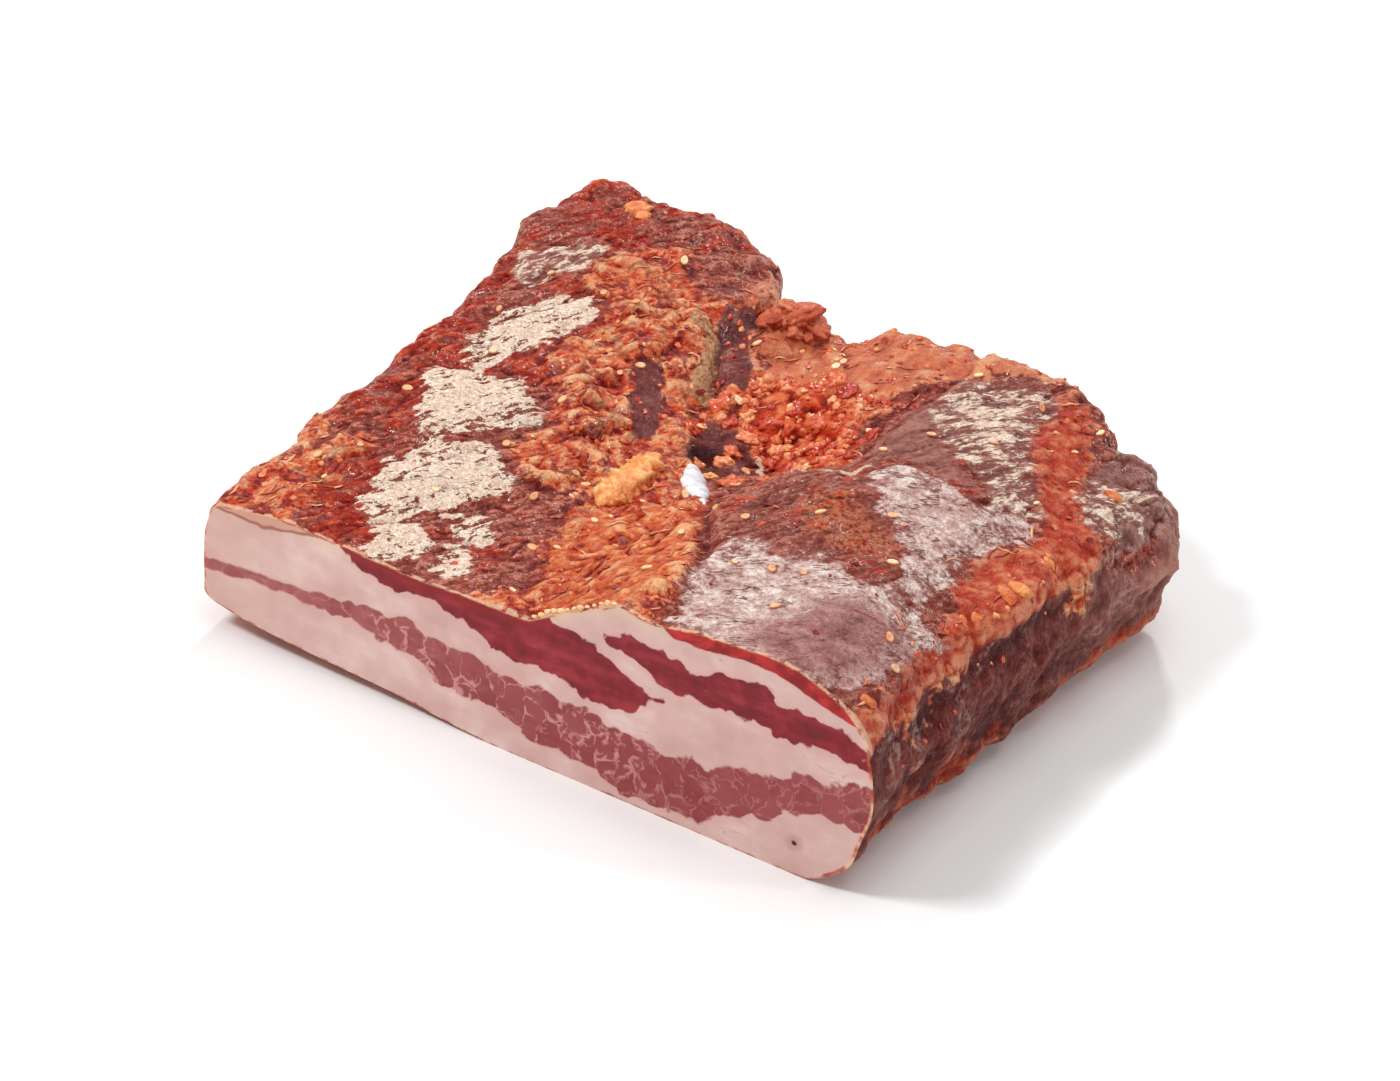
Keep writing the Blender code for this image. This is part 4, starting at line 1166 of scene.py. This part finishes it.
def make_crumbs(ground, heap, draw):
    """Lumps of chilli paste: the large crumbs of the hollow, and clots over all the paste."""
    large, middling, small = ball(4), ball(3), ball(2)
    spots = [(x, y, 0.85 * radius, turn, large) for x, y, radius, turn in crumb_spots()]
    for _ in range(HOLLOW_TRIES):
        angle, out = draw.uniform(0, 2 * math.pi), 28 * math.sqrt(draw.random())
        x, y = HOLLOW[0] - 4 + out * math.cos(angle), HOLLOW[1] + 8 + out * math.sin(angle)
        if field_at(x, y) > 0 and field_at(x, y, DARK_PATCHES[2:]) < -0.5:
            spots.append((x, y, draw.uniform(0.7, 1.9), draw.uniform(0, math.pi), middling))
    while len(spots) < CLOT_COUNT:
        x, y = draw.uniform(-6, 198), draw.uniform(2, 196)
        if field_at(x, y) > draw.uniform(-2, 5):
            spots.append((x, y, draw.uniform(0.5, 1.3), draw.uniform(0, math.pi), small))
    for x, y, radius, turn, (points, faces) in spots:
        spot = ground.at(x, y)
        if spot:
            local = lumpy(points, x + y, 0.55, 0.8) * np.array([1.0, 0.8, 0.62]) * radius
            heap.lay((local, faces), spot, turn, -0.1 * radius, draw.uniform(0.15, 0.95))
    heap.finish(
        "paste_crumbs", (0.05, 120, 14, 6), (0.25, 186, 44, 18), (0.45, 212, 80, 38), (0.65, 226, 120, 72),
        (0.9, 242, 176, 120), roughness=0.3, size=1.4, coat=0.5,
    )


def make_flakes(ground, heap, draw):
    """Thin curled chips of chilli skin."""
    while len(heap.points) < FLAKE_COUNT:
        x, y = draw.uniform(-6, 196), draw.uniform(1, 192)
        spot = ground.at(x, y)
        if not spot or (field_at(x, y) < 0 and draw.random() < 0.85):
            continue
        sides, size = draw.randint(6, 9), draw.uniform(0.6, 1.7)
        angles = np.sort([2 * math.pi * (i + draw.uniform(-0.35, 0.35)) / sides for i in range(sides)])
        reach = size * np.array([draw.uniform(0.6, 1.15) for _ in angles])
        across, along = 0.6 * reach * np.cos(angles), reach * np.sin(angles)
        curl = draw.uniform(-0.12, 0.25) * along**2 / size
        top = np.stack([across, along, curl + 0.14], -1)
        chip = np.concatenate([[(0, 0, 0.17)], top, [(0, 0, -0.05)], top - [0, 0, 0.22]])
        under, faces = sides + 1, []
        for i in range(1, sides + 1):
            j = i % sides + 1
            faces += [[0, i, j], [under, under + j, under + i], [i, under + i, under + j, j]]
        tilt = np.array([draw.gauss(0, 0.25), draw.gauss(0, 0.25), 0])
        heap.lay((chip, faces), spot, draw.uniform(0, 2 * math.pi), 0.12, draw.random(), tilt)
    heap.finish(
        "chilli_flakes", (0.05, 92, 14, 12), (0.3, 152, 30, 18), (0.55, 190, 58, 32), (0.75, 214, 108, 64),
        (0.95, 236, 168, 116), smooth=False, bumps=0.1,
    )


def shred_line(draw, ground, x, y, length, radius):
    """Points along a fibre that wanders over the crust, and the surface's normals there, or None."""
    heading, bend = STREAK_TURN + draw.gauss(0, 0.5), draw.gauss(0, 0.9) / length
    step = length / (SHRED_RINGS - 1)
    centres, normals = [], []
    for i in range(SHRED_RINGS):
        place, normal = ground.at(x, y) or (None, (0, 0, 0))
        if normal[2] < 0.6:
            return None
        centres.append(place + radius * (0.5 + 1.2 * max(0.0, math.sin(i * 1.7 + length))) * normal)
        normals.append(normal)
        x, y = x + step * math.cos(heading), y + step * math.sin(heading)
        heading += bend * step
    return np.array(centres), np.array(normals)


def make_shreds(ground, heap, draw):
    """Torn fibres of meat and fat that lie along the crust's streaks."""
    while len(heap.points) < SHRED_COUNT:
        x, y = draw.uniform(-4, 194), draw.uniform(3, 190)
        if field_at(x, y) < draw.uniform(-6, 3) or field_at(x, y, DARK_PATCHES) > -6:
            continue
        length, radius = draw.uniform(2.5, 7), draw.uniform(0.14, 0.32)
        line = shred_line(draw, ground, x, y, length, radius)
        if not line:
            continue
        centres, normals = line
        soften(centres, 1)
        ahead = unit(np.gradient(centres, axis=0))
        side = unit(np.cross(ahead, normals))
        thick = radius * (0.15 + 0.85 * np.sin(math.pi * (np.arange(SHRED_RINGS) + 0.4) / 8.8))[:, None]
        _, out, faces = tube(1.5 * thick * side, 0.7 * thick * np.cross(side, ahead), 6)
        heap.add((centres[:, None] + out).reshape(-1, 3), faces, draw.random())
    heap.finish(
        "torn_shreds", (0.05, 120, 28, 18), (0.3, 178, 66, 40), (0.55, 212, 112, 74), (0.85, 240, 176, 132),
        bumps=0.1,
    )


def make_crag(ground, heap, draw):
    """The torn crag that stands up by the notch."""
    points, faces = ball(4)
    for i in range(CRAG_LUMPS):
        spot = ground.at(CRAG[0] + draw.gauss(0.5, 3.6), CRAG[1] + draw.gauss(-1.5, 2.2))
        if not spot:
            continue
        radius = draw.uniform(1.4, 3.4)
        turned = np.array(Euler([draw.uniform(0, 6) for _ in range(3)]).to_matrix())
        stretch = np.array([1.0, draw.uniform(0.5, 0.9), draw.uniform(0.5, 0.8)])
        shape = lumpy(points, i * 3.1, 0.5) * stretch @ turned * radius
        heap.add(shape + spot[0] + np.array([0, 0, 0.3 * radius]), faces, draw.uniform(0.1, 0.75))
    for i, (x, y, z, reach, turn, droop) in enumerate(CRAG_FLAPS):
        axes = np.array(Euler((0, droop, turn)).to_matrix()).T
        swell = 0.75 + 0.25 * (lumpy(points, 60 + i, 0.9) * points).sum(1)
        flap = points * [1, 1, 0.34] * swell[:, None]
        flap[:, 1] *= 0.75 - 0.35 * points[:, 0]
        heap.add(reach * flap @ axes + placed((x, y, z)) / MM, faces, 0.3 + 0.12 * i)
    heap.finish(
        "torn_crag", (0.08, 104, 18, 10), (0.22, 164, 48, 26), (0.38, 196, 84, 52), (0.58, 214, 122, 86),
        (0.9, 232, 170, 132), size=1.6, bumps=0.5,
    )


def long_lump(ground, path, widths, heights, seed, rough, shades, dim=0.0):
    """A body that lies on the crust along a path in plan, with its half width and height on the way."""
    size, amount = rough
    way, stations = np.linspace(0, 1, len(path)), np.linspace(0, 1, 61)
    spine = np.transpose([np.interp(stations, way, axis) for axis in zip(*path)])
    places, normals = (np.array(part) for part in zip(*[ground.at(x, y) for x, y in spine]))
    soften(places, 150)
    soften(normals, 150)
    side = unit(np.cross(np.gradient(places, axis=0), normals))
    end = np.sqrt(np.maximum(1e-4, 1 - np.abs(2 * stations - 1) ** 3))
    wide, high = (end * np.interp(stations, way, half) for half in (widths, heights))
    angles, out, faces = tube(wide[:, None] * side, high[:, None] * normals, 28)
    x, y, z = np.moveaxis(places[:, None] + out, -1, 0)
    bulge = 1 + amount * (np.abs(lumps(x + seed * size, y, z, size)) * 2 - 0.5)
    # The tone follows the bulge: lighter on the granules and darker between them, a painted highlight and
    # shade; dim darkens the side to the right of the path
    tones = np.interp(bulge, (1 - 0.5 * amount, 1 + 0.7 * amount), shades)
    tones = tones - dim * np.maximum(0.0, np.cos(angles)) ** 2
    return (places[:, None] + out * bulge[..., None]).reshape(-1, 3), faces, tones.ravel()


def make_yellow_lumps(ground, heap, draw):
    """The orange-yellow lump beside the torn middle, and the pale lumps by the cut and the right edge."""
    widths, heights = (3.8, 5.4, 5.2, 5.4, 4.0), (2.4, 3.6, 3.5, 3.8, 2.6)
    heap.add(*long_lump(ground, NUGGET, widths, heights, 5.0, (3.2, 0.3), (0.32, 0.8), 0.3))
    path = [(10, 193), (15, 190), (20, 185)]
    heap.add(*long_lump(ground, path, (2.6, 3.6, 2.6), (1.4, 1.8, 1.2), 9.0, (3, 0.35), (0.2, 0.5)))
    points, faces = ball(2)
    for x in np.arange(97, 119, 1.8):
        place, normal = ground.at(x, 1.0)
        local = lumpy(points, x, 0.3) * [1.3, 0.9, 0.8] * draw.uniform(0.5, 0.9)
        heap.add(local + place + 0.2 * normal, faces, draw.uniform(0.9, 1.0))
    path = [(92.5, 94.5), (94.5, 95.5), (97, 96)]
    heap.add(*long_lump(ground, path, (1.0, 1.4, 0.9), (0.9, 1.2, 0.8), 8.0, (3, 0.4), (0.5, 0.9)))
    points, faces = ball(4)
    for i, (x, y) in enumerate(RIM_LUMPS):
        size = draw.uniform(1.6, 2.9)
        local = lumpy(points, 200 + i, 0.35) * np.array([1.3, 0.9, 0.6]) * size
        turn = draw.uniform(0.9, 2.2)
        heap.lay((local, faces), ground.at(x, y), turn, -0.25 * size, draw.uniform(0.12, 0.5))
    heap.finish(
        "yellow_lumps", (0.1, 158, 44, 20), (0.28, 214, 104, 52), (0.46, 236, 150, 80),
        (0.66, 246, 186, 112), (0.95, 252, 226, 186), size=1.6, bumps=0.7,
    )


def make_crescent(ground, heap):
    """The smooth white crescent by the torn middle."""
    widths, heights = (1.4, 3.8, 3.2, 2.2, 0.9), (0.7, 1.5, 1.4, 1.0, 0.5)
    heap.add(*long_lump(ground, CRESCENT, widths, heights, 3.0, (7, 0.12), (0.6, 0.75), 0.4))
    heap.finish(
        "white_crescent", (0.16, 98, 66, 70), (0.34, 158, 150, 158), (0.5, 202, 203, 210),
        (0.7, 234, 234, 232), size=2.5, bumps=0.15,
    )


def studio():
    """A pale floor, soft light and the camera, at the photograph's viewing angle."""
    floor = bpy.data.meshes.new("floor")
    floor.from_pydata([(-6, -6, 0), (6, -6, 0), (6, 6, 0), (-6, 6, 0)], [], [(0, 1, 2, 3)])
    s = Shader("pale_floor")
    grain = s.noise(300)
    colour = s.mix(grain, (246, 246, 246), (250, 250, 250))
    floor.materials.append(s.finish(colour, 0.7, s.bump(grain, 0.1)))
    stand = linked("floor", floor)

    world = bpy.data.worlds.new("studio")
    bpy.context.scene.world = world
    world.use_nodes = True
    background = world.node_tree.nodes["Background"]
    background.inputs["Color"].default_value = (1.0, 1.0, 1.0, 1.0)
    background.inputs["Strength"].default_value = 0.38
    for name, place, size, power in [
        ("key", (-0.8, -0.75, 1.3), 0.35, 15.0),
        ("back", (-0.55, 1.25, 1.0), 0.16, 9.0),
        ("overhead", (0.2, 0.2, 1.8), 1.2, 11.0),
        ("side", (1.3, 0.5, 0.9), 0.12, 3.0),
    ]:
        lamp = bpy.data.lights.new(name, "AREA")
        lamp.size, lamp.energy = size, power
        light = linked(name, lamp)
        light.location = place
        light.rotation_euler = (-Vector(place)).to_track_quat("-Z", "Y").to_euler()

    lens = bpy.data.cameras.new("camera")
    lens.sensor_width, lens.lens, lens.clip_start, lens.clip_end = 36.0, 120.0, 0.1, 40.0
    camera = linked("camera", lens)
    camera.location = (0.45849, -0.98026, 0.66663)
    camera.rotation_euler = [math.radians(angle) for angle in (58.642, -6.969, 29.629)]
    bpy.context.scene.camera = camera
    bpy.context.scene.view_settings.view_transform = "Standard"


skin, ground = make_skin()
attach(skin, "root")
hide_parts("fat_lower", "lean_lower", "fat_upper", "lean_inner", "lean_outer", "lean_cap")
MAKERS = (make_seeds, make_crumbs, make_flakes, make_shreds, make_crag, make_yellow_lumps)
for number, make in enumerate(MAKERS, 2):
    make(ground, Heap(), random.Random(CRUST_DRAW + number))
make_crescent(ground, Heap())
studio()
